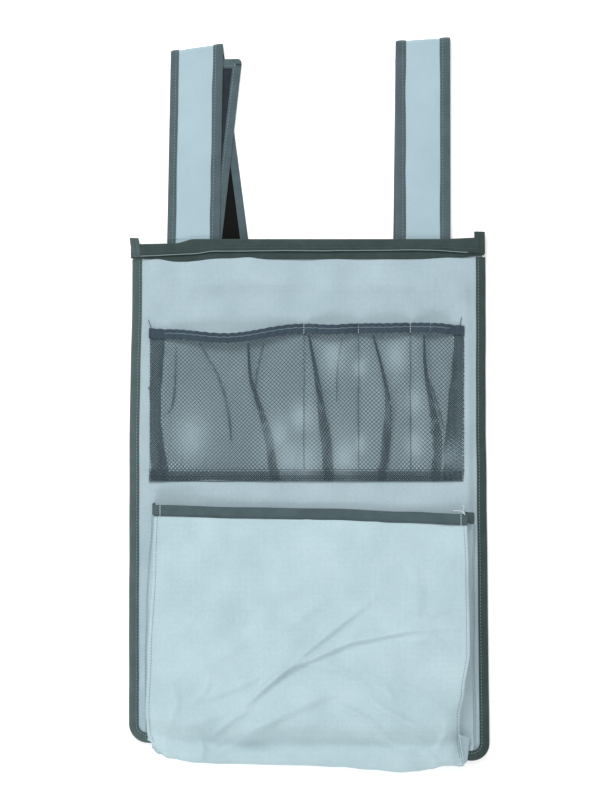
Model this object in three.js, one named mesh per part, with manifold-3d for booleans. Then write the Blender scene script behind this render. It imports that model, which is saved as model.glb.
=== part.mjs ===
// Flat hanging organiser for drum sticks, lying on its back.
//
// A stiffened fabric panel carries a row of elastic-topped net compartments and, below them, a
// box pocket. Two hook-and-loop hanger straps are sewn behind the top hem.
//
// Frame: X to the right, Y towards the hanger straps, Z up from the surface it lies on.
// Everything is built with Y = 0 on the top edge of the panel, then centred at the end.
// Lengths are in millimetres.

import * as THREE from 'three';
import { mergeVertices } from 'three/addons/utils/BufferGeometryUtils.js';
import Module from 'manifold-3d';

// ---- Driving dimensions ----

const clearance = 0.3;            // gap kept between pieces that touch or are sewn together

const panelWidth = 330;
const panelHeight = 476;
const cornerRadius = 17;
const rearFabricThickness = 1.8;
const boardThickness = 1.0;
const boardInset = 4;             // from the panel's outer edge to the board's edge
const frontFabricThickness = 1.7;
const rimThickness = 0.6;         // panel fabric where the binding grips it
const tapeThickness = 0.9;        // binding tape, one layer
const edgeBindingWidth = 9;

const hemHeight = 12.3;           // top hem, along Y
const hemTop = 10.2;              // its highest face above the surface
const hemLipWidth = 1.6;
const hemRounding = 1.5;
const hemLipDrop = 2.6;           // how far the lip slopes down from the hem's top
const leftEarRise = 2;            // cut ends of the edge binding above the panel's top edge
const rightEarRise = 6.5;

const meshLeftInset = 18;         // from the panel's side edges to the sides of the row of nets
const meshRightInset = 19.6;
const meshTopDrop = 79;           // from the panel's top edge down to the elastic's top
const meshBottomDrop = 220;
const meshHemHeight = 8;
const meshHemThickness = 1.6;
const meshLeftEdgeWidth = 14.6;   // doubled net along the two sides
const meshRightEdgeWidth = 13;
const dividerDistances = [148.8, 98.3, 50.2];   // from the row's right side to each divider
const dividerWidth = 1.2;
const netThickness = 1.0;
const elasticHeight = 9;
const elasticThickness = 2.0;
const wideLift = 10;              // how far the net stands off the panel in mid-compartment
const stickLift = 8;

const pocketGap = 21.3;           // from the nets' bottom hem down to the pocket's mouth
const pocketBaseLeftInset = 17;   // from the panel's side edges to the gussets' seams on it
const pocketBaseRightInset = 12;
const leftGussetWidth = 9;        // how far the gussets lean in from their seams, seen from above
const rightGussetWidth = 5;
const pocketThickness = 1.2;
const pocketMouthHeight = 15.5;   // outer face of the front at the mouth, above the surface
const pocketCrestHeight = 26;
const pocketShoulderRise = 2.2;   // the front's rise a third of the way down from its mouth
const pocketBulge = 12;           // how far the pocket hangs below the panel's bottom edge
const pocketSeamInset = 4;        // from the panel's bottom edge to the front's bottom seam
const mouthBindingHeight = 11;
const gussetThickness = 1.0;
const gussetBindingThickness = 2.0;

const strapWidth = 50;
const strapThickness = 2.0;
const strapBindingWidth = 9;
const strapTapeThickness = 0.45;  // one layer of the narrow binding on the straps
const strapRimThickness = 0.5;
const gripTapeThickness = 0.6;    // hook tape and loop tape
const gripTapeProud = 0.15;       // how far they stand above the strap's bindings
const strapStart = 0.4;           // straps start this far above the panel's top edge
const anchorDepth = 11;           // sewn ends of the straps behind the hem
const fullLoopHeight = 178;       // from the panel's top edge to the left strap's fold

const leftStrapInset = 59.4;      // from the panel's side edges to the straps' centre lines
const rightStrapInset = 58;

// Each run goes from its centre's place at the hem to its centre's place at its far end, and the
// far end slopes by a share of the width.
const leftStrapX = -panelWidth / 2 + leftStrapInset;
const rightStrapX = panelWidth / 2 - rightStrapInset;
const hangers = [
  {
    side: 'left',
    front: { lowX: leftStrapX, highX: leftStrapX + 2.8, foldY: fullLoopHeight, slope: 0.138 },
    rear: { lowX: leftStrapX + 26.4, highX: leftStrapX + 2.8, foldY: fullLoopHeight, slope: 0.138 },
    hook: { lowX: leftStrapX + 1, highX: leftStrapX + 19.9, foldY: fullLoopHeight - 8, slope: 0.03 },
  },
  {
    side: 'right',
    front: { lowX: rightStrapX, highX: rightStrapX, foldY: fullLoopHeight + 7.6, slope: 0.068 },
    rear: { lowX: rightStrapX - 2, highX: rightStrapX, foldY: fullLoopHeight + 7.6, slope: 0.068 },
    hook: { lowX: rightStrapX, highX: rightStrapX - 0.5, foldY: fullLoopHeight - 4, slope: 0 },
  },
];

// ---- Places and heights worked out from them ----

const meshLeft = -panelWidth / 2 + meshLeftInset;
const meshRight = panelWidth / 2 - meshRightInset;
const dividers = dividerDistances.map((distance) => meshRight - distance);
const pocketTopDrop = meshBottomDrop + pocketGap;
const pocketBaseLeft = -panelWidth / 2 + pocketBaseLeftInset;
const pocketBaseRight = panelWidth / 2 - pocketBaseRightInset;
const pocketFrontLeft = pocketBaseLeft + leftGussetWidth;
const pocketFrontRight = pocketBaseRight - rightGussetWidth;

const rearFabricTop = rearFabricThickness;
const boardLow = rearFabricTop + clearance;
const frontFabricLow = boardLow + boardThickness + clearance;
const panelTop = frontFabricLow + frontFabricThickness;
const bindingTop = panelTop + clearance;
const sewnOn = panelTop + clearance;        // underside of whatever is sewn on the panel
const hemLow = tapeThickness + clearance;

const rearRunLow = 0;
const hookLow = rearRunLow + strapThickness + gripTapeProud + clearance;
const frontRunLow = hookLow + strapThickness + 2 * gripTapeProud + clearance;
const frontRunTop = frontRunLow + strapThickness;
const foldOuterRadius = frontRunTop / 2;
const foldInnerRadius = foldOuterRadius - strapThickness;

// ---- Materials ----

function cloth(colour, roughness) {
  return new THREE.MeshStandardMaterial({ color: colour, roughness: roughness, metalness: 0 });
}

const lightFabric = cloth('#b8cdd6', 0.85);
const greyTape = cloth('#56666a', 0.9);
const darkNet = cloth('#44545f', 0.9);
const elasticTape = cloth('#3f4f5b', 0.85);
const loopTape = cloth('#16181b', 0.95);
const hookTape = cloth('#3a4146', 0.7);
const board = cloth('#d9d4c8', 0.8);
const thread = cloth('#dfe6ea', 0.7);

// ---- Geometry helpers ----

const wasm = await Module();
wasm.setup();

function toSolid(geometry) {
  const bare = geometry.clone();
  bare.deleteAttribute('normal');
  bare.deleteAttribute('uv');
  const merged = mergeVertices(bare);
  return new wasm.Manifold(new wasm.Mesh({
    numProp: 3,
    vertProperties: Float32Array.from(merged.attributes.position.array),
    triVerts: Uint32Array.from(merged.index.array),
  }));
}

function toGeometry(solid) {
  const mesh = solid.getMesh();
  const geometry = new THREE.BufferGeometry();
  geometry.setAttribute('position', new THREE.BufferAttribute(mesh.vertProperties, 3));
  geometry.setIndex(new THREE.BufferAttribute(mesh.triVerts, 1));
  geometry.computeVertexNormals();
  return geometry;
}

function join(...geometries) {
  return toGeometry(geometries.map(toSolid).reduce((whole, piece) => whole.add(piece)));
}

function cut(geometry, ...cutters) {
  const rest = cutters.map(toSolid).reduce((whole, piece) => whole.subtract(piece), toSolid(geometry));
  return toGeometry(rest);
}

// A block between two opposite corners.
function block(low, high) {
  const size = high.map((value, i) => value - low[i]);
  const middle = high.map((value, i) => (value + low[i]) / 2);
  return new THREE.BoxGeometry(...size).translate(...middle);
}

// A flat outline in X and Y, given thickness along Z.
function plate(shape, lowZ, highZ) {
  const options = { depth: highZ - lowZ, bevelEnabled: false, curveSegments: 8 };
  return new THREE.ExtrudeGeometry(shape, options).translate(0, 0, lowZ);
}

// An outline in Y and Z, drawn out along X.
function alongX(shape, lowX, highX) {
  const options = { depth: highX - lowX, bevelEnabled: false, curveSegments: 8 };
  const turn = new THREE.Matrix4().makeBasis(
    new THREE.Vector3(0, 1, 0),
    new THREE.Vector3(0, 0, 1),
    new THREE.Vector3(1, 0, 0),
  );
  return new THREE.ExtrudeGeometry(shape, options).applyMatrix4(turn).translate(lowX, 0, 0);
}

function polygon(points) {
  return new THREE.Shape(points.map(([a, b]) => new THREE.Vector2(a, b)));
}

// Moves every vertex by a rule, and leaves the faces as they are.
function reshape(geometry, rule) {
  const position = geometry.attributes.position;
  for (let i = 0; i < position.count; i += 1) {
    position.setXYZ(i, ...rule(position.getX(i), position.getY(i), position.getZ(i)));
  }
  geometry.computeVertexNormals();
  return geometry;
}

// A channel that grips the edge of a sheet: open towards -Y, its slot between two legs.
function channel(topY, height, tape, slotLow, slotHigh) {
  return polygon([
    [topY, slotLow - tape],
    [topY, slotHigh + tape],
    [topY - height, slotHigh + tape],
    [topY - height, slotHigh],
    [topY - tape, slotHigh],
    [topY - tape, slotLow],
    [topY - height, slotLow],
    [topY - height, slotLow - tape],
  ]);
}

const bag = new THREE.Group();

function addPiece(name, geometry, material) {
  const mesh = new THREE.Mesh(geometry, material);
  mesh.name = name;
  bag.add(mesh);
}

// ---- Panel: two fabrics with a stiffening board between them ----

// The panel's outline, moved in by an inset, with round bottom corners.
function panelOutline(inset, topY) {
  const side = panelWidth / 2 - inset;
  const bottom = -panelHeight + inset;
  const radius = Math.max(cornerRadius - inset, 1);
  const shape = new THREE.Shape();
  shape.moveTo(side, topY);
  shape.lineTo(-side, topY);
  shape.lineTo(-side, bottom + radius);
  shape.absarc(-side + radius, bottom + radius, radius, Math.PI, 1.5 * Math.PI, false);
  shape.lineTo(side - radius, bottom);
  shape.absarc(side - radius, bottom + radius, radius, 1.5 * Math.PI, 2 * Math.PI, false);
  shape.closePath();
  return shape;
}

const layersTopY = -hemHeight - clearance;
const rimInset = tapeThickness + clearance;
const insideBinding = edgeBindingWidth + clearance;

addPiece('rear_panel_fabric', join(
  plate(panelOutline(insideBinding, layersTopY), 0, rearFabricTop),
  plate(panelOutline(rimInset, layersTopY), rearFabricTop - rimThickness, rearFabricTop),
), lightFabric);

addPiece(
  'stiffening_board',
  plate(panelOutline(boardInset, layersTopY), boardLow, boardLow + boardThickness),
  board,
);

const frontRimTop = bindingTop - tapeThickness - clearance;
addPiece('front_panel_fabric', join(
  plate(panelOutline(insideBinding, layersTopY), frontFabricLow, panelTop),
  plate(panelOutline(rimInset, layersTopY), frontFabricLow, frontRimTop),
), lightFabric);

// ---- Edge binding: one tape down both sides and round the bottom, its cut ends standing up ----

function earBlock(side, rise) {
  const outer = side * panelWidth / 2;
  const inner = side * (panelWidth / 2 - edgeBindingWidth);
  return block(
    [Math.min(outer, inner), layersTopY - hemLipWidth, 0],
    [Math.max(outer, inner), rise, hemTop + clearance + tapeThickness],
  );
}

const past = 1;                   // how far a cutter runs past what it cuts
const slotHigh = bindingTop - tapeThickness;
const hemSlot = block(
  [-panelWidth / 2 + tapeThickness, layersTopY, tapeThickness],
  [panelWidth / 2 - tapeThickness, rightEarRise + past, hemTop + clearance],
);
const hemRoom = block(
  [-panelWidth / 2 + edgeBindingWidth, layersTopY - 2 * hemLipWidth, -past],
  [panelWidth / 2 - edgeBindingWidth, rightEarRise + past, hemTop + 2 * tapeThickness + past],
);
addPiece('edge_binding', cut(
  join(
    plate(panelOutline(0, layersTopY), 0, bindingTop),
    earBlock(-1, leftEarRise),
    earBlock(1, rightEarRise),
  ),
  plate(panelOutline(tapeThickness, layersTopY + past), tapeThickness, slotHigh),
  plate(panelOutline(edgeBindingWidth, layersTopY + past), -past, bindingTop + past),
  hemSlot,
  hemRoom,
), greyTape);

// ---- Top hem: a raised roll with a lip over the panel, notched where the straps go in ----

const notchTop = frontRunTop + clearance;
const hemSide = panelWidth / 2 - tapeThickness - clearance;
const hemProfile = new THREE.Shape();
hemProfile.moveTo(0, hemLow);
hemProfile.lineTo(0, hemTop - hemRounding);
hemProfile.absarc(-hemRounding, hemTop - hemRounding, hemRounding, 0, Math.PI / 2, false);
hemProfile.lineTo(-hemHeight, hemTop);
hemProfile.lineTo(-hemHeight - hemLipWidth, hemTop - hemLipDrop);
hemProfile.lineTo(-hemHeight - hemLipWidth, sewnOn);
hemProfile.lineTo(-hemHeight, sewnOn);
hemProfile.lineTo(-hemHeight, hemLow);
hemProfile.closePath();
const earRoom = edgeBindingWidth + hemLipWidth;
const lipLow = -hemHeight - 2 * hemLipWidth;
const lipEnd = hemSide + tapeThickness - earRoom;
const lipCutters = [
  block([-hemSide - past, lipLow, sewnOn - past], [-lipEnd, -hemHeight, hemTop + past]),
  block([lipEnd, lipLow, sewnOn - past], [hemSide + past, -hemHeight, hemTop + past]),
];
const notches = hangers.map(({ front }) => block(
  [front.lowX - strapWidth / 2 - clearance, -anchorDepth - clearance, -past],
  [front.lowX + strapWidth / 2 + clearance, past, notchTop],
));
addPiece('top_hem', cut(alongX(hemProfile, -hemSide, hemSide), ...lipCutters, ...notches), greyTape);

// ---- Net compartments ----

const netTopY = -meshTopDrop - elasticHeight - clearance;
const meshHemTopY = -meshBottomDrop + meshHemHeight;
const netBottomY = meshHemTopY + clearance;
const netBaseLeft = meshLeft + meshLeftEdgeWidth;
const netBaseRight = meshRight - meshRightEdgeWidth;

// Height of a compartment's net over its own edges: u runs across it, v from its bottom up.
function netLift(lift, u, v) {
  const across = Math.pow(Math.sin(Math.PI * u), 0.8);
  const along = Math.sin(Math.min(v / 0.55, 1) * Math.PI / 2);
  return lift * across * along;
}

// A thin sheet over a rectangle, lifted in the middle and lying on its two sides and bottom.
function puffedSheet(lowX, highX, lowY, highY, lowZ, thickness, steps, lift) {
  const [width, height] = [highX - lowX, highY - lowY];
  const sheet = new THREE.BoxGeometry(width, height, thickness, steps[0], steps[1], 1);
  sheet.translate((lowX + highX) / 2, (lowY + highY) / 2, lowZ + thickness / 2);
  return reshape(sheet, (x, y, z) => {
    const u = THREE.MathUtils.clamp((x - lowX) / width, 0, 1);
    const v = THREE.MathUtils.clamp((y - netBottomY) / (netTopY - netBottomY), 0, 1);
    return [x, y, z + netLift(lift, u, v)];
  });
}

const seamRoom = dividerWidth / 2 + clearance;
const wideSteps = 18;
const stickSteps = 10;
const compartments = [
  ['wide', netBaseLeft + clearance, dividers[0] - seamRoom, wideLift, wideSteps],
  ['stick_1', dividers[0] + seamRoom, dividers[1] - seamRoom, stickLift, stickSteps],
  ['stick_2', dividers[1] + seamRoom, dividers[2] - seamRoom, stickLift, stickSteps],
  ['stick_3', dividers[2] + seamRoom, netBaseRight - clearance, stickLift, stickSteps],
];

for (const [name, left, right, lift, steps] of compartments) {
  const net = puffedSheet(left, right, netBottomY, netTopY, sewnOn, netThickness, [steps, 8], lift);
  addPiece(`${name}_net`, net, darkNet);
  const elastic = puffedSheet(
    left, right, -meshTopDrop - elasticHeight, -meshTopDrop, sewnOn, elasticThickness, [steps, 1], lift,
  );
  addPiece(`${name}_elastic`, elastic, elasticTape);
}

dividers.forEach((x, i) => {
  const seam = block(
    [x - dividerWidth / 2, netBottomY, sewnOn],
    [x + dividerWidth / 2, -meshTopDrop, sewnOn + netThickness],
  );
  addPiece(`divider_seam_${i + 1}`, seam, thread);
});

const netSides = [
  ['left', meshLeft, netBaseLeft],
  ['right', netBaseRight, meshRight],
];
for (const [side, lowX, highX] of netSides) {
  const edge = block([lowX, netBottomY, sewnOn], [highX, netTopY, sewnOn + meshHemThickness]);
  addPiece(`${side}_net_edge`, edge, darkNet);
  const end = block(
    [lowX, -meshTopDrop - elasticHeight, sewnOn],
    [highX, -meshTopDrop, sewnOn + elasticThickness],
  );
  addPiece(`${side}_elastic_end`, end, elasticTape);
}

addPiece(
  'net_bottom_hem',
  block([meshLeft, -meshBottomDrop, sewnOn], [meshRight, meshHemTopY, sewnOn + meshHemThickness]),
  darkNet,
);

// ---- Bottom pocket: a box pocket with a bound mouth and two side gussets ----

const mouthY = -pocketTopDrop - tapeThickness - clearance;
const flatEndY = -pocketTopDrop - mouthBindingHeight - clearance;
const seamY = -panelHeight + pocketSeamInset;
const bulgeY = -panelHeight - pocketBulge;

// A place along Y, as a share of the way from the mouth down to the panel's bottom edge.
function downPocket(share) {
  return flatEndY - share * (flatEndY + panelHeight);
}

// The front's outer face, from the mouth down over the bulge and back under to the bottom seam.
const crestRise = pocketCrestHeight - pocketMouthHeight;
const bulgeCurve = new THREE.CatmullRomCurve3([
  [flatEndY, pocketMouthHeight],
  [downPocket(0.3), pocketMouthHeight + pocketShoulderRise],
  [downPocket(0.62), pocketMouthHeight + 0.7 * crestRise],
  [downPocket(0.84), pocketCrestHeight],
  [downPocket(0.99), pocketMouthHeight + 0.6 * crestRise],
  [bulgeY + pocketBulge / 8, pocketMouthHeight + 1],
  [bulgeY + pocketBulge / 20, (pocketMouthHeight + sewnOn) / 2],
  [seamY - pocketBulge / 2, sewnOn + pocketThickness / 2],
  [seamY, sewnOn],
].map(([y, z]) => new THREE.Vector3(0, y, z)));
const bulgePoints = bulgeCurve.getPoints(30);

// The same face moved inwards by a distance, along the curve's own normal.
function insetFace(distance) {
  return bulgePoints.map((point, i) => {
    const tangent = bulgeCurve.getTangent(i / (bulgePoints.length - 1));
    const [y, z] = [point.y - tangent.z * distance, point.z + tangent.y * distance];
    return [y, Math.max(z, sewnOn)];
  });
}

const outerFace = bulgePoints.map((point) => [point.y, point.z]);
const innerFace = insetFace(pocketThickness);
const frontOutline = polygon([
  [mouthY, pocketMouthHeight],
  ...outerFace,
  ...innerFace.reverse(),
  [mouthY, pocketMouthHeight - pocketThickness],
]);
addPiece('bottom_pocket_front', alongX(frontOutline, pocketFrontLeft, pocketFrontRight), lightFabric);

const mouthBinding = channel(
  -pocketTopDrop,
  mouthBindingHeight,
  tapeThickness,
  pocketMouthHeight - pocketThickness - clearance,
  pocketMouthHeight + clearance,
);
addPiece('bottom_pocket_mouth_binding', alongX(mouthBinding, pocketFrontLeft, pocketFrontRight), greyTape);

const gussetFace = insetFace(pocketThickness + clearance).filter(([y]) => y < flatEndY);
const gussetMouthTop = pocketMouthHeight - pocketThickness - 2 * clearance - tapeThickness;

// Height of the gusset's top edge at a place along Y.
function gussetTopAt(y) {
  const upper = gussetFace.filter((point, i) => i === 0 || point[0] < gussetFace[i - 1][0]);
  const next = upper.findIndex((point) => point[0] <= y);
  if (next === 0) {
    return gussetMouthTop;
  }
  if (next < 0) {
    return upper[upper.length - 1][1];
  }
  const [near, far] = [upper[next - 1], upper[next]];
  const share = (y - near[0]) / (far[0] - near[0]);
  return near[1] + share * (far[1] - near[1]);
}

// Leans a gusset piece from its seam on the panel to the edge of the pocket's front.
function leanGusset(geometry, baseX, topX) {
  return reshape(geometry, (x, y, z) => {
    const rise = THREE.MathUtils.clamp((z - sewnOn) / (gussetTopAt(y) - sewnOn), 0, 1);
    return [x + baseX + rise * (topX - baseX), y, z];
  });
}

const gussetOutline = polygon([
  [flatEndY - clearance, sewnOn],
  [flatEndY - clearance, gussetMouthTop],
  ...gussetFace.filter(([, z]) => z > sewnOn + clearance),
  [seamY + 2 * clearance, sewnOn],
]);
const gussetMouth = polygon([
  [flatEndY, sewnOn],
  [-pocketTopDrop, sewnOn],
  [-pocketTopDrop, gussetMouthTop],
  [flatEndY, gussetMouthTop],
]);
const gussetSides = [
  ['left', pocketBaseLeft, pocketFrontLeft, 0, 0],
  ['right', pocketBaseRight, pocketFrontRight, -gussetThickness, -gussetBindingThickness],
];
for (const [side, baseX, topX, gussetX, bindingX] of gussetSides) {
  const gusset = alongX(gussetOutline, gussetX, gussetX + gussetThickness);
  addPiece(`${side}_gusset`, leanGusset(gusset, baseX, topX), lightFabric);
  const binding = alongX(gussetMouth, bindingX, bindingX + gussetBindingThickness);
  addPiece(`${side}_gusset_binding`, leanGusset(binding, baseX, topX), greyTape);
}

// ---- Hanger straps ----
// A strap piece is made in the strap's own coordinates, X across it from its centre line and Y
// along it, and is then laid along its run, which may lean and ends on a sloping line.

const halfStrap = strapWidth / 2;
const faceHalf = halfStrap - strapBindingWidth - clearance;
const rimHalf = halfStrap - strapTapeThickness - clearance;
const tapeHalf = faceHalf - clearance;
const slotLow = strapTapeThickness;
const slotTop = strapThickness - strapTapeThickness;
const rimLow = (strapThickness - strapRimThickness) / 2;
const rimTop = rimLow + strapRimThickness;

function layAlong(run, geometry, lowZ) {
  const length = run.foldY - strapStart;
  return reshape(geometry, (x, y, z) => {
    const share = y / length;
    const slope = 1 + run.slope * x / length;
    return [run.lowX + share * (run.highX - run.lowX) + x, strapStart + y * slope, z + lowZ];
  });
}

// The strap's fabric: a face between the bindings, and a thin rim inside them. The side without
// a grip tape carries the thicker half. A bound tip leaves room for the binding round the end.
function strapFabric(length, gripOnTop, boundTip) {
  const faceEnd = boundTip ? length - strapBindingWidth - clearance : length;
  const rimEnd = boundTip ? length - strapTapeThickness - clearance : length;
  const [faceLow, faceHigh] = gripOnTop ? [0, rimTop] : [rimLow, strapThickness];
  return join(
    block([-faceHalf, 0, faceLow], [faceHalf, faceEnd, faceHigh]),
    block([-rimHalf, 0, rimLow], [rimHalf, rimEnd, rimTop]),
  );
}

function gripTape(length, gripOnTop) {
  const low = gripOnTop ? strapThickness + gripTapeProud - gripTapeThickness : -gripTapeProud;
  return block([-tapeHalf, 0, low], [tapeHalf, length, low + gripTapeThickness]);
}

function sideBinding(side, length) {
  const [outer, inner] = [side * halfStrap, side * (halfStrap - strapBindingWidth)];
  const slotEnd = side * (halfStrap - strapTapeThickness);
  const innerEnd = side * (halfStrap - strapBindingWidth - past);
  const [slotLeft, slotRight] = [Math.min(slotEnd, innerEnd), Math.max(slotEnd, innerEnd)];
  return cut(
    block([Math.min(outer, inner), 0, 0], [Math.max(outer, inner), length, strapThickness]),
    block([slotLeft, -past, slotLow], [slotRight, length + past, slotTop]),
  );
}

// One tape up one edge, across the free tip and down the other edge.
function tipBinding(length) {
  const inner = halfStrap - strapBindingWidth;
  return cut(
    block([-halfStrap, 0, 0], [halfStrap, length, strapThickness]),
    block([-inner, -past, -past], [inner, length - strapBindingWidth, strapThickness + past]),
    block(
      [-halfStrap + strapTapeThickness, -past, slotLow],
      [halfStrap - strapTapeThickness, length - strapTapeThickness, slotTop],
    ),
  );
}

// Half a turn of the strap over its top, from the front run to the rear run.
function foldPiece(startY) {
  const profile = new THREE.Shape();
  profile.absarc(startY, foldOuterRadius, foldOuterRadius, -Math.PI / 2, Math.PI / 2, false);
  profile.absarc(startY, foldOuterRadius, foldInnerRadius, Math.PI / 2, -Math.PI / 2, true);
  profile.closePath();
  return alongX(profile, -halfStrap, halfStrap);
}

for (const { side, front, rear, hook } of hangers) {
  const frontLength = front.foldY - strapStart;
  const rearLength = rear.foldY - strapStart;
  const hookLength = hook.foldY - strapStart;
  const addStrap = (name, run, geometry, lowZ, material) => {
    addPiece(`${side}_${name}`, layAlong(run, geometry, lowZ), material);
  };

  addStrap('front_strap', front, strapFabric(frontLength, false, false), frontRunLow, lightFabric);
  addStrap('front_loop_tape', front, gripTape(frontLength, false), frontRunLow, loopTape);
  addStrap('front_strap_binding_left', front, sideBinding(-1, frontLength), frontRunLow, greyTape);
  addStrap('front_strap_binding_right', front, sideBinding(1, frontLength), frontRunLow, greyTape);
  addStrap('strap_fold', front, foldPiece(frontLength + clearance), 0, lightFabric);

  addStrap('rear_strap', rear, strapFabric(rearLength, true, false), rearRunLow, lightFabric);
  addStrap('rear_loop_tape', rear, gripTape(rearLength, true), rearRunLow, loopTape);
  addStrap('rear_strap_binding_left', rear, sideBinding(-1, rearLength), rearRunLow, greyTape);
  addStrap('rear_strap_binding_right', rear, sideBinding(1, rearLength), rearRunLow, greyTape);

  const hookTapeLength = hookLength - strapBindingWidth - 2 * clearance;
  addStrap('hook_strap', hook, strapFabric(hookLength, true, true), hookLow, lightFabric);
  addStrap('hook_tape', hook, gripTape(hookTapeLength, true), hookLow, hookTape);
  addStrap('hook_strap_binding', hook, tipBinding(hookLength), hookLow, greyTape);

  const anchor = block(
    [front.lowX - halfStrap, -anchorDepth, 0],
    [front.lowX + halfStrap, 0, frontRunTop],
  );
  addPiece(`${side}_strap_anchor`, anchor, lightFabric);
}

// ---- Origin: bottom centre of the whole bag ----

const bounds = new THREE.Box3().setFromObject(bag);
const centre = bounds.getCenter(new THREE.Vector3());
bag.position.set(-centre.x, -centre.y, -bounds.min.z);

const group = new THREE.Group();
group.add(bag);

export default group;
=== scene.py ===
"""Looks of the drum stick bag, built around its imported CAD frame. Lengths are in millimetres
here and become metres in make_object. "drop" is a distance down from the panel's top edge."""

import math

import bmesh
import bpy
import numpy as np
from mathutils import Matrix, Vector


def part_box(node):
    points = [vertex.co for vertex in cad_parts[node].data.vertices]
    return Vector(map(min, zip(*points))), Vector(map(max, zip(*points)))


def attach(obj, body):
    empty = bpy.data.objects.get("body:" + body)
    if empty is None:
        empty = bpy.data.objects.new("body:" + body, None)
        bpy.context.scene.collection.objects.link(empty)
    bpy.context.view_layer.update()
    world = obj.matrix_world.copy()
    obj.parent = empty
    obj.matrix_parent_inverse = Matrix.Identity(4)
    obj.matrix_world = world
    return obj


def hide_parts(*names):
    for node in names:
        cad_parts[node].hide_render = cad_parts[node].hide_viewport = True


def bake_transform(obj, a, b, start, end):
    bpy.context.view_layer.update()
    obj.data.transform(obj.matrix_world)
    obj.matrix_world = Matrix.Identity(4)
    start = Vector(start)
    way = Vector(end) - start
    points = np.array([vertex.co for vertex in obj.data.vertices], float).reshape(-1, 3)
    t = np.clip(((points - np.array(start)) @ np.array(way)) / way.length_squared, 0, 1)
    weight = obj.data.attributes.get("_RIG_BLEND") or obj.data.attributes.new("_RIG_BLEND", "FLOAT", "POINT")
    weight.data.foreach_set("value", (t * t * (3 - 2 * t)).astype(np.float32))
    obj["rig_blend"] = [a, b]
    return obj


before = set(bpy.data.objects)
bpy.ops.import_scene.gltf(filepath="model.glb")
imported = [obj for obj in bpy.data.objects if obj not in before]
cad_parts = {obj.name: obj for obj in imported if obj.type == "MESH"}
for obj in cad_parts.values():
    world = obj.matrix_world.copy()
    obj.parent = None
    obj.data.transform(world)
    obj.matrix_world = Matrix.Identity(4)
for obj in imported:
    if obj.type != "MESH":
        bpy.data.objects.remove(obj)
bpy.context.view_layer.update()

MM = 0.001


def cad(node):
    """A CAD node's lowest and highest corner, in millimetres."""
    low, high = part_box(node)
    return np.array(low) / MM, np.array(high) / MM


# ---- Places taken from the frame ----

HEM_LOW, HEM_HIGH = cad("top_hem")
BIND_LOW, BIND_HIGH = cad("edge_binding")
PANEL_HIGH = cad("front_panel_fabric")[1]
TOP_Y = HEM_HIGH[1]                    # the panel's top edge
HEM_TOP = HEM_HIGH[2]
HALF = BIND_HIGH[0]
BOTTOM_Y = BIND_LOW[1]
PANEL_TOP = PANEL_HIGH[2]
SEWN_ON = cad("net_bottom_hem")[0][2]
CORNER = 17                            # radius of the panel's bottom corners
BINDING = 9                            # finished width of the edge binding
UP, DOWN = (0, 0, 1), (0, 0, -1)

# ---- Small numeric helpers ----


def smooth(x):
    x = np.clip(x, 0, 1)
    return x * x * (3 - 2 * x)


def ease(x, xs, ys):
    """Passes through the points with level, smooth steps between them."""
    x = np.asarray(x, float)
    i = np.clip(np.searchsorted(xs, x) - 1, 0, len(xs) - 2)
    xs, ys = np.asarray(xs, float), np.asarray(ys, float)
    return ys[i] + (ys[i + 1] - ys[i]) * smooth((x - xs[i]) / (xs[i + 1] - xs[i]))


def distances(line):
    """How far each point of a line lies along it."""
    return np.concatenate([[0], np.cumsum(np.linalg.norm(np.diff(line, axis=0), axis=1))])


def sample(at, along, values):
    """The rows of values that belong at some distances, where along gives each row's own."""
    return np.stack([np.interp(at, along, values[:, k]) for k in range(values.shape[1])], axis=1)


def unit(vectors):
    return vectors / np.linalg.norm(vectors, axis=-1, keepdims=True)


def arc(cx, cy, radius, start, stop, count):
    """Points of a circle's arc between two angles in degrees."""
    turns = [math.radians(angle) for angle in np.linspace(start, stop, count)]
    return [(cx + radius * math.cos(turn), cy + radius * math.sin(turn)) for turn in turns]


def spline(points, count):
    """A Catmull-Rom curve through the points, evenly sampled along its length."""
    p = np.asarray(points, float)
    p = np.vstack([2 * p[0] - p[1], p, 2 * p[-1] - p[-2]])
    t = np.linspace(0, 1, 24, endpoint=False)[:, None]
    parts = []
    for a, b, c, d in zip(p, p[1:], p[2:], p[3:]):
        parts.append(0.5 * (2 * b + (c - a) * t + (2 * a - 5 * b + 4 * c - d) * t * t
                            + (3 * b - a - 3 * c + d) * t ** 3))
    line = np.vstack(parts + [p[-2][None]])
    along = distances(line)
    return sample(np.linspace(0, along[-1], count), along, line)


def waves(x, y, size, seed, count=9):
    """Smooth, seeded undulation between about -1 and 1, with features about that size."""
    r = np.random.default_rng(seed)
    total = 0
    for _ in range(count):
        angle, phase, pitch = r.uniform(0, math.pi), r.uniform(0, 6.3), size * r.uniform(0.7, 1.8)
        total = total + np.sin((x * math.cos(angle) + y * math.sin(angle)) * 2 * math.pi / pitch + phase)
    return total / math.sqrt(count) * 0.7


def ridge(x, y, path, width, height):
    """A soft fold along a path of points: a rounded bank that fades out at both ends."""
    best = np.full(np.shape(x), 0.0)
    lengths = [math.dist(a, b) for a, b in zip(path, path[1:])]
    total, start = sum(lengths), 0
    for (a, b), length in zip(zip(path, path[1:]), lengths):
        dx, dy = (b[0] - a[0]) / length, (b[1] - a[1]) / length
        along = (x - a[0]) * dx + (y - a[1]) * dy
        across = (x - a[0]) * -dy + (y - a[1]) * dx
        inside = np.clip(along, 0, length)
        away = np.hypot(across, along - inside)
        fade = np.sin(math.pi * np.clip((start + inside) / total, 0.02, 0.98)) ** 0.7
        best = np.maximum(best, np.exp(-(away / width) ** 2) * fade)
        start += length
    return height * best


# ---- Mesh builders ----


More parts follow.
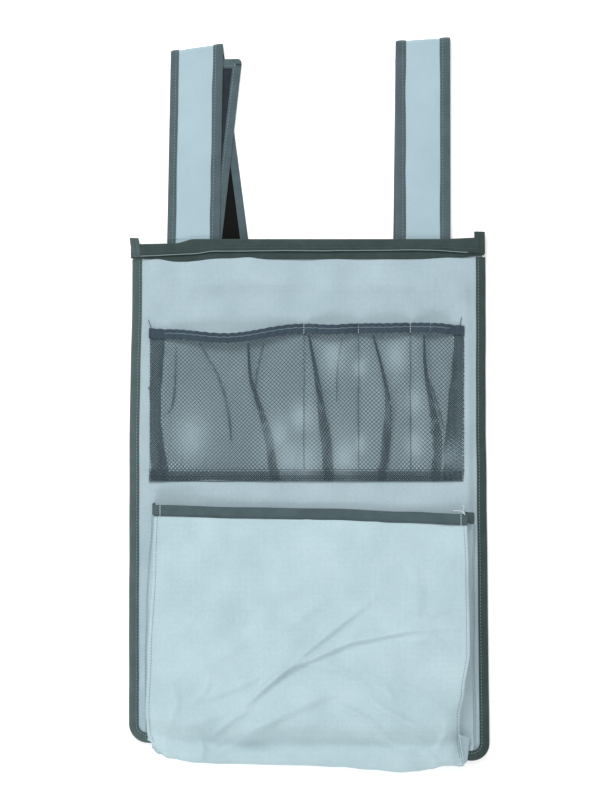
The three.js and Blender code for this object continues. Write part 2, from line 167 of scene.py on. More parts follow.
def make_object(name, points, faces, material, flat=False):
    mesh = bpy.data.meshes.new(name)
    points = np.asarray(points, float).reshape(-1, 3) * MM
    mesh.from_pydata(points.tolist(), [], [list(map(int, f)) for f in faces])
    mesh.validate()
    mesh.update()
    obj = bpy.data.objects.new(name, mesh)
    bpy.context.scene.collection.objects.link(obj)
    mesh.materials.append(material)
    mesh.polygons.foreach_set("use_smooth", [not flat] * len(mesh.polygons))
    return obj


def grid_faces(rows, cols, first=0, turned=False, ring=False):
    """Quads over a grid of points stored row by row; a ring joins its last column to its first."""
    r = np.arange(rows - 1)[:, None]
    c = np.arange(cols if ring else cols - 1)[None]
    d = (c + 1) % cols
    quads = np.stack([r * cols + c, r * cols + d, (r + 1) * cols + d, (r + 1) * cols + c], axis=-1)
    quads = quads.reshape(-1, 4) + first
    return quads[:, ::-1] if turned else quads


def normals_of(grid):
    """Unit normals of a grid of points, shaped like the grid."""
    n = np.cross(np.gradient(grid, axis=1), np.gradient(grid, axis=0))
    return n / np.maximum(np.linalg.norm(n, axis=2, keepdims=True), 1e-9)


def shell(name, grid, thickness, material, up=1):
    """A closed cloth layer: the grid is its outer face, and the inner face lies under it."""
    rows, cols = grid.shape[:2]
    n = normals_of(grid) * up
    if abs(n[..., 2].mean()) > 0.05 and n[..., 2].mean() * up < 0:
        n = -n
    points = np.vstack([grid.reshape(-1, 3), (grid - n * thickness).reshape(-1, 3)])
    size = rows * cols
    faces = [*grid_faces(rows, cols), *grid_faces(rows, cols, size, turned=True)]
    edge = [*range(cols - 1), *range(cols - 1, size - 1, cols)]
    edge += [*range(size - 1, size - cols, -1), *range(size - cols, 0, -cols)]
    for a, b in zip(edge, edge[1:] + edge[:1]):
        faces.append((b, a, a + size, b + size))
    obj = make_object(name, points, faces, material)
    fix_normals(obj)
    return obj


def fix_normals(obj):
    work = bmesh.new()
    work.from_mesh(obj.data)
    bmesh.ops.recalc_face_normals(work, faces=work.faces)
    work.to_mesh(obj.data)
    work.free()


def sweep(name, rings, material):
    """A closed solid through rings of points, shaped (rings, points in a ring, 3)."""
    count, around = rings.shape[:2]
    faces = list(grid_faces(count, around, ring=True))
    faces += [tuple(range(around))[::-1], tuple(range((count - 1) * around, count * around))]
    obj = make_object(name, rings.reshape(-1, 3), faces, material)
    fix_normals(obj)
    mark_ends(obj, around, count)
    return obj


def mark_ends(obj, around, count):
    """Makes the rims of a sweep's two end faces sharp, so that its sides shade evenly up to them."""
    edges = obj.data.edges
    ends = np.empty(len(edges) * 2, int)
    edges.foreach_get("vertices", ends)
    ring = ends.reshape(-1, 2) // around
    rim = (ring[:, 0] == ring[:, 1]) & ((ring[:, 0] == 0) | (ring[:, 0] == count - 1))
    attributes = obj.data.attributes
    sharp = attributes.get("sharp_edge") or attributes.new("sharp_edge", "BOOLEAN", "EDGE")
    sharp.data.foreach_set("value", rim)


def thread(name, points, radius, material):
    """A round thread along a line of points."""
    line = spline(points, max(8, 6 * len(points)))
    along = unit(np.gradient(line, axis=0))
    side = unit(np.cross(along, [0.13, 0.29, 0.95]))
    other = np.cross(along, side)
    a = np.linspace(0, 2 * math.pi, 6, endpoint=False)[None, :, None]
    rings = line[:, None] + radius * (np.cos(a) * side[:, None] + np.sin(a) * other[:, None])
    return sweep(name, rings, material)


def many(shape_points, shape_faces, places):
    """Copies of a small solid at (origin, three axes) places, joined into one point and face list."""
    origins, frames = places
    points = origins[:, None] + np.einsum("pk,nkj->npj", shape_points, frames)
    offsets = np.arange(len(origins))[:, None, None] * len(shape_points)
    faces = (np.asarray(shape_faces)[None] + offsets).reshape(-1, len(shape_faces[0]))
    return points.reshape(-1, 3), faces


STITCH_POINTS = np.array(
    [(-0.5, 0, -0.5), (0.5, 0, -0.5)]
    + [(x, 0.5 * math.cos(a), 0.5 * math.sin(a)) for x in (-0.28, 0.28)
       for a in np.linspace(0, 2 * math.pi, 6, endpoint=False)]
)
STITCH_FACES = (
    [(0, 2 + (i + 1) % 6, 2 + i) for i in range(6)]
    + [(1, 8 + i, 8 + (i + 1) % 6) for i in range(6)]
    + [f for i in range(6) for f in ((2 + i, 2 + (i + 1) % 6, 8 + i),
                                      (2 + (i + 1) % 6, 8 + (i + 1) % 6, 8 + i))]
)


def stitches(name, line, up, material, pitch=3.0, length=2.2, width=0.55):
    """A row of lockstitches along a line of points; up is the surface normal along it."""
    along = distances(line)
    at = np.arange(pitch / 2, along[-1], pitch)
    centre = sample(at, along, line)
    d = unit(sample(at + 0.5, along, line) - sample(at - 0.5, along, line))
    n = unit(sample(at, along, np.broadcast_to(np.asarray(up, float), line.shape)))
    side = unit(np.cross(n, d))
    frames = np.stack([d * length, side * width, n * width], axis=1)
    return make_object(name, *many(STITCH_POINTS, STITCH_FACES, (centre + n * 0.12, frames)), material)


# ---- Materials ----


def colour(code):
    parts = [int(code[i:i + 2], 16) / 255 for i in (0, 2, 4)]
    return [v / 12.92 if v <= 0.04045 else ((v + 0.055) / 1.055) ** 2.4 for v in parts] + [1]


def cloth_material(name, dark, light, weave_mm, weave_strength, roughness, sheen=0.0, blotch_mm=40,
                   directions=("X", "Y")):
    """Woven cloth: sets of yarn, fine fuzz, and dye that is uneven in blotches."""
    material = bpy.data.materials.new(name)
    material.use_nodes = True
    nodes, links = material.node_tree.nodes, material.node_tree.links
    shader = nodes["Principled BSDF"]
    shader.inputs["Roughness"].default_value = roughness
    shader.inputs["Sheen Weight"].default_value = sheen
    shader.inputs["Sheen Roughness"].default_value = 0.6
    shader.inputs["Specular IOR Level"].default_value = 0.25
    position = nodes.new("ShaderNodeTexCoord").outputs["Object"]

    def noise(size_mm, detail):
        n = nodes.new("ShaderNodeTexNoise")
        n.inputs["Scale"].default_value = 1 / (size_mm * MM)
        n.inputs["Detail"].default_value = detail
        links.new(position, n.inputs["Vector"])
        return n.outputs["Fac"]

    def yarn(direction, pitch_mm):
        w = nodes.new("ShaderNodeTexWave")
        w.bands_direction = direction
        w.inputs["Scale"].default_value = 2 * math.pi / 20 / (pitch_mm * MM)
        w.inputs["Distortion"].default_value = 0.6
        w.inputs["Detail"].default_value = 1
        links.new(position, w.inputs["Vector"])
        return w.outputs["Fac"]

    def mix(kind, a, b):
        m = nodes.new("ShaderNodeMath")
        m.operation = kind
        links.new(a, m.inputs[0])
        if isinstance(b, float):
            m.inputs[1].default_value = b
        else:
            links.new(b, m.inputs[1])
        return m.outputs[0]

    weave = yarn(directions[0], weave_mm)
    if len(directions) > 1:
        weave = mix("MAXIMUM", weave, yarn(directions[1], weave_mm))
    fuzz = noise(weave_mm * 2.0, 4)
    dye = noise(blotch_mm, 4)
    tone = mix("ADD", mix("MULTIPLY", weave, 0.35), mix("MULTIPLY", fuzz, 0.3))
    tone = mix("ADD", tone, mix("MULTIPLY", dye, 0.55))
    ramp = nodes.new("ShaderNodeValToRGB")
    for stop, position, code in zip(ramp.color_ramp.elements, (0.3, 0.95), (dark, light)):
        stop.position = position
        stop.color = colour(code)
    links.new(tone, ramp.inputs["Fac"])
    links.new(ramp.outputs["Color"], shader.inputs["Base Color"])
    height = mix("ADD", weave, mix("MULTIPLY", fuzz, 0.8))
    bump = nodes.new("ShaderNodeBump")
    bump.inputs["Strength"].default_value = weave_strength
    bump.inputs["Distance"].default_value = weave_mm * MM * 0.25
    links.new(height, bump.inputs["Height"])
    links.new(bump.outputs["Normal"], shader.inputs["Normal"])
    return material


PANEL_CLOTH = cloth_material("panel_cloth", "8da2aa", "b0c4cc", 1.1, 0.6, 0.85, 0.1)
POCKET_CLOTH = cloth_material("pocket_cloth", "9bb3bb", "bdd3da", 1.1, 0.6, 0.85, 0.1)
STRAP_CLOTH = cloth_material("strap_cloth", "8ea7af", "a8bec7", 0.6, 0.5, 0.8, 0.1)
BACK_CLOTH = cloth_material("back_cloth", "8ca2aa", "a2b8c0", 0.9, 0.6, 0.88, 0.1)
TAPE = cloth_material("binding_tape", "334443", "4f6463", 0.7, 0.8, 0.85, 0.15, 12)
STRAP_TAPE = cloth_material("strap_tape", "35454a", "52656b", 0.7, 0.8, 0.85, 0.15, 12)
# A darker copy of the binding tape: painted shade, used on the right half of the edge binding, its right end
# and the top hem.
PAINTED_SHADE_TAPE = cloth_material("shaded_tape", "202e2c", "3a4d4b", 0.7, 0.8, 0.85, 0.1, 12)
MOUTH_TAPE = cloth_material("mouth_tape", "324347", "4e6266", 0.7, 0.8, 0.85, 0.15, 12)
NET = cloth_material("net_thread", "33464c", "52666c", 0.5, 0.4, 0.75, 0.15, 15)
# Darker copies of the net thread: painted shade where the net lies double, and deeper painted shade in its
# folds.
NET_DOUBLE_SHADED = cloth_material("double_net_thread_shaded", "2c3e45", "485b62", 0.5, 0.4, 0.75, 0.1, 15)
NET_FOLD_SHADED = cloth_material("folded_net_thread_shaded", "25363d", "3d5057", 0.5, 0.4, 0.75, 0.1, 15)
ELASTIC = cloth_material("elastic_tape", "22333f", "374a58", 0.6, 0.8, 0.75, 0.15, 10)
ELASTIC_RIB = cloth_material("elastic_rib", "5f7480", "7d919c", 0.4, 0.6, 0.75, 0.15, 10)
LOOP = cloth_material("loop_tape", "030404", "0a0b0c", 0.5, 1.0, 0.95, 0.0, 6)
HOOK = cloth_material("hook_tape", "151b20", "2c3842", 1.2, 1.0, 0.55, 0.0, 8, ("X",))
THREAD = cloth_material("pale_thread", "b9c6cc", "e6edf0", 0.25, 0.6, 0.6, 0.1, 5)
SOFT_THREAD = cloth_material("soft_thread", "6d8085", "8b9da1", 0.25, 0.6, 0.7, 0.1, 5)
DARK_THREAD = cloth_material("dark_thread", "39464d", "55646b", 0.25, 0.6, 0.7, 0.1, 5)
BOARD = cloth_material("stiffening_board", "c9c3b4", "ddd8cb", 1.5, 0.2, 0.8)


def place(obj, body, slot_name, *nodes):
    """Rides a body and stands in for the CAD nodes; slot_name is not used."""
    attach(obj, body)
    if nodes:
        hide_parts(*nodes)


def sew(name, body, line, up, material, *sizes):
    """A row of stitches that rides a body."""
    place(stitches(name, line, up, material, *sizes), body, "thread")


# ---- Camera, light and floor ----


def aim(obj, at, distance, azimuth, elevation):
    """Places an object at a distance from a point and turns it to look at it."""
    a, e = math.radians(azimuth), math.radians(elevation)
    back = (math.sin(a) * math.cos(e), -math.cos(a) * math.cos(e), math.sin(e))
    obj.location = [p * MM + b * distance for p, b in zip(at, back)]
    obj.rotation_euler = (-Vector(back)).to_track_quat("-Z", "Y").to_euler()


VIEW_AT = (-7, 0.5, 5)                 # the point that the photograph is centred on
VIEW_WIDTH = 0.5556                    # metres across the frame at that point
VIEW_DISTANCE = 4.9
camera_data = bpy.data.cameras.new("camera")
camera_data.sensor_width = 36
camera_data.lens = camera_data.sensor_width * VIEW_DISTANCE / (VIEW_WIDTH * 800 / 600)
camera_data.clip_end = 100
camera = bpy.data.objects.new("camera", camera_data)
scene = bpy.context.scene
scene.collection.objects.link(camera)
aim(camera, VIEW_AT, VIEW_DISTANCE, 0, 86)
scene.camera = camera

scene.view_settings.view_transform = "Standard"
world = bpy.data.worlds.new("studio")
scene.world = world
world.use_nodes = True
world.node_tree.nodes["Background"].inputs["Color"].default_value = (1, 1, 1, 1)
world.node_tree.nodes["Background"].inputs["Strength"].default_value = 0.54


def softbox(name, azimuth, elevation, width, height, power):
    """A lamp that faces the panel's middle."""
    data = bpy.data.lights.new(name, "AREA")
    data.shape = "RECTANGLE"
    data.size, data.size_y = width, height
    data.energy = power
    obj = bpy.data.objects.new(name, data)
    scene.collection.objects.link(obj)
    aim(obj, (0, 0, 0), LAMP_DISTANCE, azimuth, elevation)


LAMP_DISTANCE = 2.2
softbox("key_light", 195, 50, 1.3, 0.8, 35)
softbox("fill_light", -20, 32, 1.2, 0.8, 17)

floor_material = bpy.data.materials.new("studio_floor")
floor_material.use_nodes = True
floor_shader = floor_material.node_tree.nodes["Principled BSDF"]
floor_shader.inputs["Base Color"].default_value = (0.98, 0.98, 0.98, 1)
floor_shader.inputs["Emission Color"].default_value = (1, 1, 1, 1)
floor_shader.inputs["Emission Strength"].default_value = 0.3
floor_shader.inputs["Roughness"].default_value = 0.9
FLOOR_REACH, FLOOR_Z = 4000, -0.05
floor_corners = [(x * FLOOR_REACH, y * FLOOR_REACH, FLOOR_Z) for x, y in ((-1, -1), (1, -1), (1, 1), (-1, 1))]
floor = make_object("studio_floor", floor_corners, [(0, 1, 2, 3)], floor_material)


# ---- Panel ----


def drop_y(drop):
    return TOP_Y - np.asarray(drop, float)


def rounded(x, y, inset):
    """Pulls points that lie outside the panel's round bottom corners back onto them."""
    side, low, radius = HALF - inset, BOTTOM_Y + inset, CORNER - inset
    cx, cy = np.sign(x) * (side - radius), low + radius
    dx, dy = np.maximum(np.abs(x) - (side - radius), 0), np.maximum(cy - y, 0)
    far = np.hypot(dx, dy)
    pull = np.where(far > radius, radius / np.maximum(far, 1e-6), 1)
    outside = (dx > 0) & (dy > 0)
    return np.where(outside, cx + np.sign(x) * dx * pull, x), np.where(outside, cy - dy * pull, y)


def settle(points):
    """The sewn panel is not quite square: its bottom edge drops to the right and flares a little."""
    down = smooth((TOP_Y - 130 - points[..., 1]) / 345)
    side = points[..., 0] / HALF
    moved = np.array(points, float)
    moved[..., 1] += down * (3.0 - 9.0 * side)
    moved[..., 0] += down * 2.6 * np.clip(side, 0, 1)
    return moved


def panel_sheet(name, rows, cols, inset, height, thickness, material, up=1):
    y, x = np.meshgrid(
        np.linspace(PANEL_HIGH[1] + 2, BOTTOM_Y + inset, rows),
        np.linspace(-HALF + inset, HALF - inset, cols), indexing="ij",
    )
    x, y = rounded(x, y, inset)
    return shell(name, settle(np.stack([x, y, height(x, y)], axis=2)), thickness, material, up)


def inside_binding(x, y):
    """How far a place on the panel lies inside the binding."""
    return np.minimum(HALF - BINDING - np.abs(x), y - BOTTOM_Y - BINDING)


# Slack folds of the panel's front: path of (x, drop), width, height.
PANEL_FOLDS = [
    ([(-158, 60), (-150, 130), (-156, 210)], 5, 0.5),
    ([(147, 30), (148, 170), (147, 300), (149, 470)], 4.2, 3.0),
    ([(136, 30), (140, 60), (147, 90)], 5, 0.8),
    ([(-112, 44), (-60, 36), (8, 40)], 9, 3.0),
    ([(12, 46), (70, 38), (132, 46)], 8, 2.4),
    ([(-152, 232), (-120, 228), (-60, 226)], 4, 0.9),
]


def front_height(x, y):
    """The front's height: sunk at its seams, softly uneven, with slack folds under the hem."""
    to_side = inside_binding(x, y)
    puff = smooth(to_side / 26) * 0.9
    drop = TOP_Y - y
    slack = np.exp(-((drop - 30) / 22) ** 2) * (0.8 + 1.5 * waves(x, y * 0.5, 50, 4))
    slack += np.exp(-((drop - 60) / 26) ** 2) * waves(x, y, 36, 7)
    folds = sum(ridge(x, drop, *fold) for fold in PANEL_FOLDS)
    rise = smooth((drop - 221) / 22) * (1 - smooth((drop - 250) / 40)) * smooth(to_side / 16)
    rise = rise * (0.35 + 0.65 * smooth((x + 140) / 50))
    sag = 0.35 * waves(x, y, 120, 2) + 0.12 * waves(x, y, 28, 3)
    return PANEL_TOP - 0.7 + puff * (1 + sag) + slack * smooth(to_side / 20) + folds + 3.0 * rise


place(panel_sheet("panel_front_cloth", 190, 130, 3, front_height, 1.0, PANEL_CLOTH),
      "panel", "light_fabric", "front_panel_fabric")


def back_height(x, y):
    under_hem = smooth((y - TOP_Y + 17) / 6)
    return 1.0 - smooth(inside_binding(x, y) / 14) * 0.75 + 0.1 * (1 + waves(x, y, 60, 5)) + 1.6 * under_hem


place(panel_sheet("panel_back_cloth", 120, 90, 3, back_height, 0.8, BACK_CLOTH, -1),
      "panel", "light_fabric", "rear_panel_fabric")


def board_height(x, y):
    return PANEL_TOP - 1.9 + 0.1 * waves(x, y, 200, 6)


place(panel_sheet("stiffening_board_sheet", 40, 30, BINDING - 2, board_height, 1.6, BOARD),
      "panel", "board", "stiffening_board")


# ---- Bindings: a folded tape round an edge ----


def tape_profile(width, low, high, wall):
    """Outline of a tape folded over an edge: U is inwards from the fold, V is up."""
    mid, half = (low + high) / 2, (high - low) / 2
    turns = [math.radians(angle) for angle in np.linspace(-90, 90, 7)]
    outer = [(half * (1 - math.cos(turn)) * 0.9, mid + half * math.sin(turn)) for turn in turns]
    top = [(width * u, high + 0.35 * math.sin(math.pi * u)) for u in (0.35, 0.55, 0.75, 0.92)]
    lip = [(width, high - 0.1), (width - 0.1, high - wall)]
    inner = [
        (width * 0.5, high - wall), (wall * 1.4, high - wall * 1.2),
        (wall * 1.2, low + wall * 1.2), (width * 0.5, low + wall),
    ]
    foot = [(width - 0.1, low + wall), (width, low + 0.1)]
    bottom = [(width * u, low) for u in (0.75, 0.35)]
    return np.array(outer + top + lip + inner + foot + bottom)


def edge_path():
    """Points down the left side, round the bottom and up the right side."""
    step, low = 3.0, BOTTOM_Y + CORNER
    points = [(-HALF, y) for y in np.arange(TOP_Y - 17.5, low, -step)]
    points += arc(-HALF + CORNER, low, CORNER, 180, 270, 14)
    points += [(x, BOTTOM_Y) for x in np.arange(-HALF + CORNER + step, HALF - CORNER, step)]
    points += arc(HALF - CORNER, low, CORNER, 270, 360, 14)
    points += [(HALF, y) for y in np.arange(low + step, TOP_Y - 13, step)]
    return np.array(points)


def inward(path):
    """Unit normals to the left of a path's direction, in the plane."""
    d = np.gradient(path, axis=0)
    d /= np.maximum(np.linalg.norm(d, axis=1, keepdims=True), 1e-9)
    return np.stack([-d[:, 1], d[:, 0]], axis=1)


edge = edge_path()
edge_in = inward(edge)
profile = tape_profile(BINDING, 0.0, SEWN_ON + 0.1, 0.8)
wobble = 0.25 * waves(edge[:, 0], edge[:, 1], 60, 11)
CURL_HEIGHT = 2.2                      # how far the tape stands up at the bottom right corner
curl = np.exp(-(np.hypot(edge[:, 0] - 152, edge[:, 1] - BOTTOM_Y - 8) / 20) ** 2)
drawn_in = np.where(edge[:, 0] < -150, 2.4, 0) * smooth((edge[:, 1] + 60) / 180)
seam_inset = BINDING - 2.2
edge_rings = np.empty((len(edge), len(profile), 3))
edge_rings[..., :2] = edge[:, None] + edge_in[:, None] * (profile[None, :, :1] + wobble[:, None, None])
edge_rings[..., 2] = profile[None, :, 1] + CURL_HEIGHT * curl[:, None] * smooth(profile[None, :, 1] / 4)
edge_rings[:, :, 0] += drawn_in[:, None]
middle = int(np.argmin(np.abs(edge[:, 0]) + 1000 * (edge[:, 1] > BOTTOM_Y + 1)))
left_tape = sweep("edge_binding_tape", settle(edge_rings[: middle + 1]), TAPE)
place(left_tape, "panel", "binding_tape", "edge_binding")
# The right half of the edge binding takes the darker tape as painted shade.
place(sweep("edge_binding_tape_right", settle(edge_rings[middle:]), PAINTED_SHADE_TAPE), "panel", "binding_tape")

line = edge + edge_in * (seam_inset + wobble[:, None])
line = settle(np.column_stack([line, SEWN_ON + 0.42 + CURL_HEIGHT * curl]))
line[:, 0] += drawn_in
sew("edge_binding_stitches", "panel", line, UP, SOFT_THREAD)
line = settle(np.column_stack([edge + edge_in * seam_inset, np.full(len(edge), 0.36)]))
sew("edge_binding_back_stitches", "panel", line, DOWN, SOFT_THREAD)


# ---- Top hem: a raised roll that the straps and the panel are sewn into ----

hem_x = np.linspace(HEM_LOW[0], HEM_HIGH[0], 150)
hem_top = ease(hem_x, [-160, -124, -104, 120, 162], [3.1, 2.5, -1.6, -1.6, -3.0])
hem_lip = ease(hem_x, [-160, -113, -85, 110, 162], [14.5, 12.6, 9.6, 8.8, 11.4])
# How far down the dark layer under the hem's lip reaches: that layer is a painted shadow of the roll.
hem_shadow_drop = ease(hem_x, [-160, -118, -98, -75, 110, 141, 162], [16.4, 19.4, 19.4, 17.2, 17.0, 15.6, 13.4])


def hem_ring(i):
    """Outline across the hem: the roll, its lower lip, and a dark layer under the lip that is a painted
    shadow of the roll.
    """
    x, top, lip, under = hem_x[i], HEM_TOP, hem_lip[i] - hem_top[i], hem_shadow_drop[i] - hem_top[i]
    lift = 0.35 * float(waves(np.array([x]), 0, 90, 21)[0])
    bulge = 0.25 * float(waves(np.array([x]), 0, 35, 22)[0])
    lip = lip + bulge
    outline = [
        (0, 1.2), (0.2, top * 0.5), (0, top - 1.8), (-0.7, top - 0.5), (-2.4, top + lift * 0.5),
        (-0.5 * lip, top + 0.3 + lift), (-0.8 * lip, top + 0.2 + lift), (-lip + 1.0, top - 0.3 + lift),
        (-lip, top - 1.0 + lift), (-lip - 0.1, top - 1.9 + lift), (-lip + 0.8, top - 2.9),
        # The rest of the outline runs over the dark layer under the lip, a painted shadow of the roll, and
        # back.
        (-lip - 0.6, SEWN_ON + 2.0), (-0.5 * (lip + under), SEWN_ON + 1.8 + bulge),
        (-under + 0.8, SEWN_ON + 1.1), (-under, SEWN_ON + 0.4), (-under + 0.4, SEWN_ON - 0.4),
        (-lip, SEWN_ON - 0.4), (-lip, 1.2),
    ]
    return [(x, float(drop_y(hem_top[i])) + v, z) for v, z in outline]


hem_rings = np.array([hem_ring(i) for i in range(len(hem_x))])
# The whole hem, with its under-lip shadow layer, is drawn in the darker tape as painted shade.
place(sweep("top_hem_tape", hem_rings, PAINTED_SHADE_TAPE), "panel", "binding_tape", "top_hem")
line = hem_rings[:, 6] * 0.8 + hem_rings[:, 5] * 0.2 + [0, 0, 0.1]
sew("top_hem_stitches", "panel", line, (0, -0.2, 1), DARK_THREAD)
# A pale thread along the lip is a painted highlight where the roll's lower edge catches the light.
lip_highlight_line = hem_rings[4:-4:6, 8] + [0, -0.05, 0.1]
place(thread("top_hem_lip_highlight", lip_highlight_line, 0.42, SOFT_THREAD), "panel", "thread")


# ---- Ears: the cut ends of the edge binding, which stand past both ends of the hem ----


def ear(name, corners, material):
    """A folded tape end; corners are its (x, drop) at top left, top right, low left, low right."""
    top_left, top_right, low_left, low_right = np.array(corners, float)
    rings = []
    for t in np.linspace(0, 1, 14):
        left = top_left + t * (low_left - top_left)
        right = top_right + t * (low_right - top_right)
        high = HEM_TOP + 1.1 - 1.4 * smooth((t - 0.75) / 0.25) + 0.2 * math.sin(5 * t)
        outline = [(0, 2.6), (0, high - 1.2), (0.09, high - 0.2), (0.4, high + 0.25), (0.5, high - 0.7),
                   (0.6, high + 0.1), (0.9, high - 0.2), (1, high - 1.2), (1, 2.6)]
        ring = []
        for share, z in outline:
            x, drop = left + share * (right - left)
            ring.append((x, float(drop_y(drop)), z))
        rings.append(ring)
    place(sweep(name, np.array(rings), material), "panel", "binding_tape")


ear("left_binding_end", [(-165.2, -2.6), (-156.6, -2.2), (-162.4, 15.2), (-154.2, 15.0)], TAPE)
# The right end takes the darker tape as painted shade.
ear("right_binding_end", [(154.6, -8.4), (164.4, -8.2), (155.2, 11.2), (164.6, 12.0)], PAINTED_SHADE_TAPE)


# ---- Net compartments ----

(NET_LEFT, NET_BOTTOM, _), (NET_RIGHT, HEM_NET_TOP, _) = cad("net_bottom_hem")
NET_TOP = cad("wide_net")[1][1]
DOUBLE_LEFT, DOUBLE_RIGHT = cad("left_net_edge")[1][0], cad("right_net_edge")[0][0]
DIVIDERS = [sum(corner[0] for corner in cad(f"divider_seam_{i}")) / 2 for i in (1, 2, 3)]
NET_SIDES = (("left", NET_LEFT, DOUBLE_LEFT), ("right", DOUBLE_RIGHT, NET_RIGHT))
NET_HEIGHT = NET_TOP - HEM_NET_TOP
CELL_WIDTH, CELL_ROW = 3.6, 1.9       # the net's cells, across and from one row of knots to the next
STRAND, KNOT = 0.56, 0.85

NAMES = ("wide", "stick_1", "stick_2", "stick_3")
# Each compartment's name, and where the seams at its left and right lie.
compartments = list(zip(NAMES, [DOUBLE_LEFT, *DIVIDERS], [*DIVIDERS, DOUBLE_RIGHT]))


def elastic_drop(x):
    """How far the elastic's top edge lies below the panel's top edge, along X."""
    return ease(x, [-147, -128, -76, -3.4, 22, 47, 71, 95, 120, 145.4],
                [81.4, 82.4, 86.6, 77.2, 78.6, 77.0, 77.2, 76.4, 77.0, 78.8])


def net_lift(x, v):
    """Height of the nets over the panel: v runs from the bottom hem up to the elastic."""
    total = np.zeros(np.broadcast(x, v).shape)
    for name, left, right in compartments:
        lift = cad(f"{name}_net")[1][2] - SEWN_ON - 1.0
        u = np.clip((x - left) / (right - left), 0, 1)
        arch = np.sin(math.pi * u) ** 0.8
        total = total + np.where((x >= left) & (x <= right), lift * 0.82 * arch, 0)
    return total * np.sin(np.clip(v / 0.55, 0, 1) * math.pi / 2)


# Folds of slack net, each from the elastic down: its path as (x, drop), its width at the bottom
# and how deep it is.
PLEATS = [
    ([(-122, 98), (-123.7, 146), (-128.4, 160)], 2.6, 0.5),
    ([(-100, 95), (-81, 130), (-72.7, 162), (-70.8, 185)], 3.0, 0.6),
    ([(-55, 95), (-53, 127), (-46.6, 149), (-37, 181), (-31, 224)], 8.5, 1.2),
    ([(-40, 95), (-46.6, 124), (-48, 148)], 3.0, 0.5),
    ([(1.3, 88), (8.5, 127), (13.3, 159), (18, 191), (19.5, 224)], 9.5, 1.4),
    ([(32, 90), (27.4, 118), (26.8, 150)], 2.2, 0.5),
    ([(60.5, 88), (68.4, 118), (74, 149), (72, 188), (69, 224)], 8.0, 1.2),
    ([(107.7, 88), (109.3, 124), (115.6, 159), (120.3, 191), (118, 224)], 9.0, 1.3),
    ([(112, 128), (120, 152), (126, 175)], 2.6, 0.5),
]
# Where the net lies stretched and its cells stand open: (x, drop) and reach.
OPEN_SPOTS = [
    (-108, 184, 15), (-29, 181, 14), (-16, 203, 16), (-4, 206, 14), (34, 203, 15), (24, 108, 11),
    (81, 108, 12), (98, 150, 9), (98, 190, 9), (131, 200, 11), (-7, 165, 12), (48, 118, 7), (48, 190, 7),
]


def openness(x, drop):
    """How far the net's cells stand open at a place, from 0 to 1."""
    best = 0.0 * x
    for at_x, at_drop, reach in OPEN_SPOTS:
        away = ((x - at_x) / reach) ** 2 + ((drop - at_drop) / (1.5 * reach)) ** 2
        best = np.maximum(best, np.exp(-away))
    return best


def net_surface(x, y):
    """The net's own surface: lifted between its seams, gathered under the elastic and pleated."""
    v = np.clip((y - HEM_NET_TOP) / NET_HEIGHT, 0, 1)
    drop = TOP_Y - y
    z = SEWN_ON + 0.7 + net_lift(x, v)
    free = np.ones(np.broadcast(x, y).shape)
    for seam in (DOUBLE_LEFT, *DIVIDERS, DOUBLE_RIGHT):
        free = free * smooth(np.abs(x - seam) / 7)
    gather = np.sin(2 * math.pi * (x / 6.6 + 0.35 * np.sin(x / 11))) * np.exp(-np.clip(1 - v, 0, 1) * 7)
    z = z + free * (0.4 * gather + 0.5 * waves(x, y * 0.5, 30, 31))
    for path, width, height in PLEATS:
        z = z + free * ridge(x, drop, path, 1.5 + 0.3 * width, height * 1.5)
    return z


OCTA_POINTS = np.array([(1, 0, 0), (-1, 0, 0), (0, 1, 0), (0, -1, 0), (0, 0, 1), (0, 0, -1)]) / 2
OCTA_FACES = [(0, 2, 4), (2, 1, 4), (1, 3, 4), (3, 0, 4), (2, 0, 5), (1, 2, 5), (3, 1, 5), (0, 3, 5)]
BAR_POINTS = np.array(
    [(x, y, z) for x in (0, 1) for y, z in ((-0.5, 0), (0, 0.3), (0.5, 0), (0, -0.3))], float
)
BAR_FACES = [f for i in range(4) for f in ((i, (i + 1) % 4, 4 + i), ((i + 1) % 4, 4 + (i + 1) % 4, 4 + i))]
BAR_FACES += [(0, 2, 1), (0, 3, 2), (4, 5, 6), (4, 6, 7)]


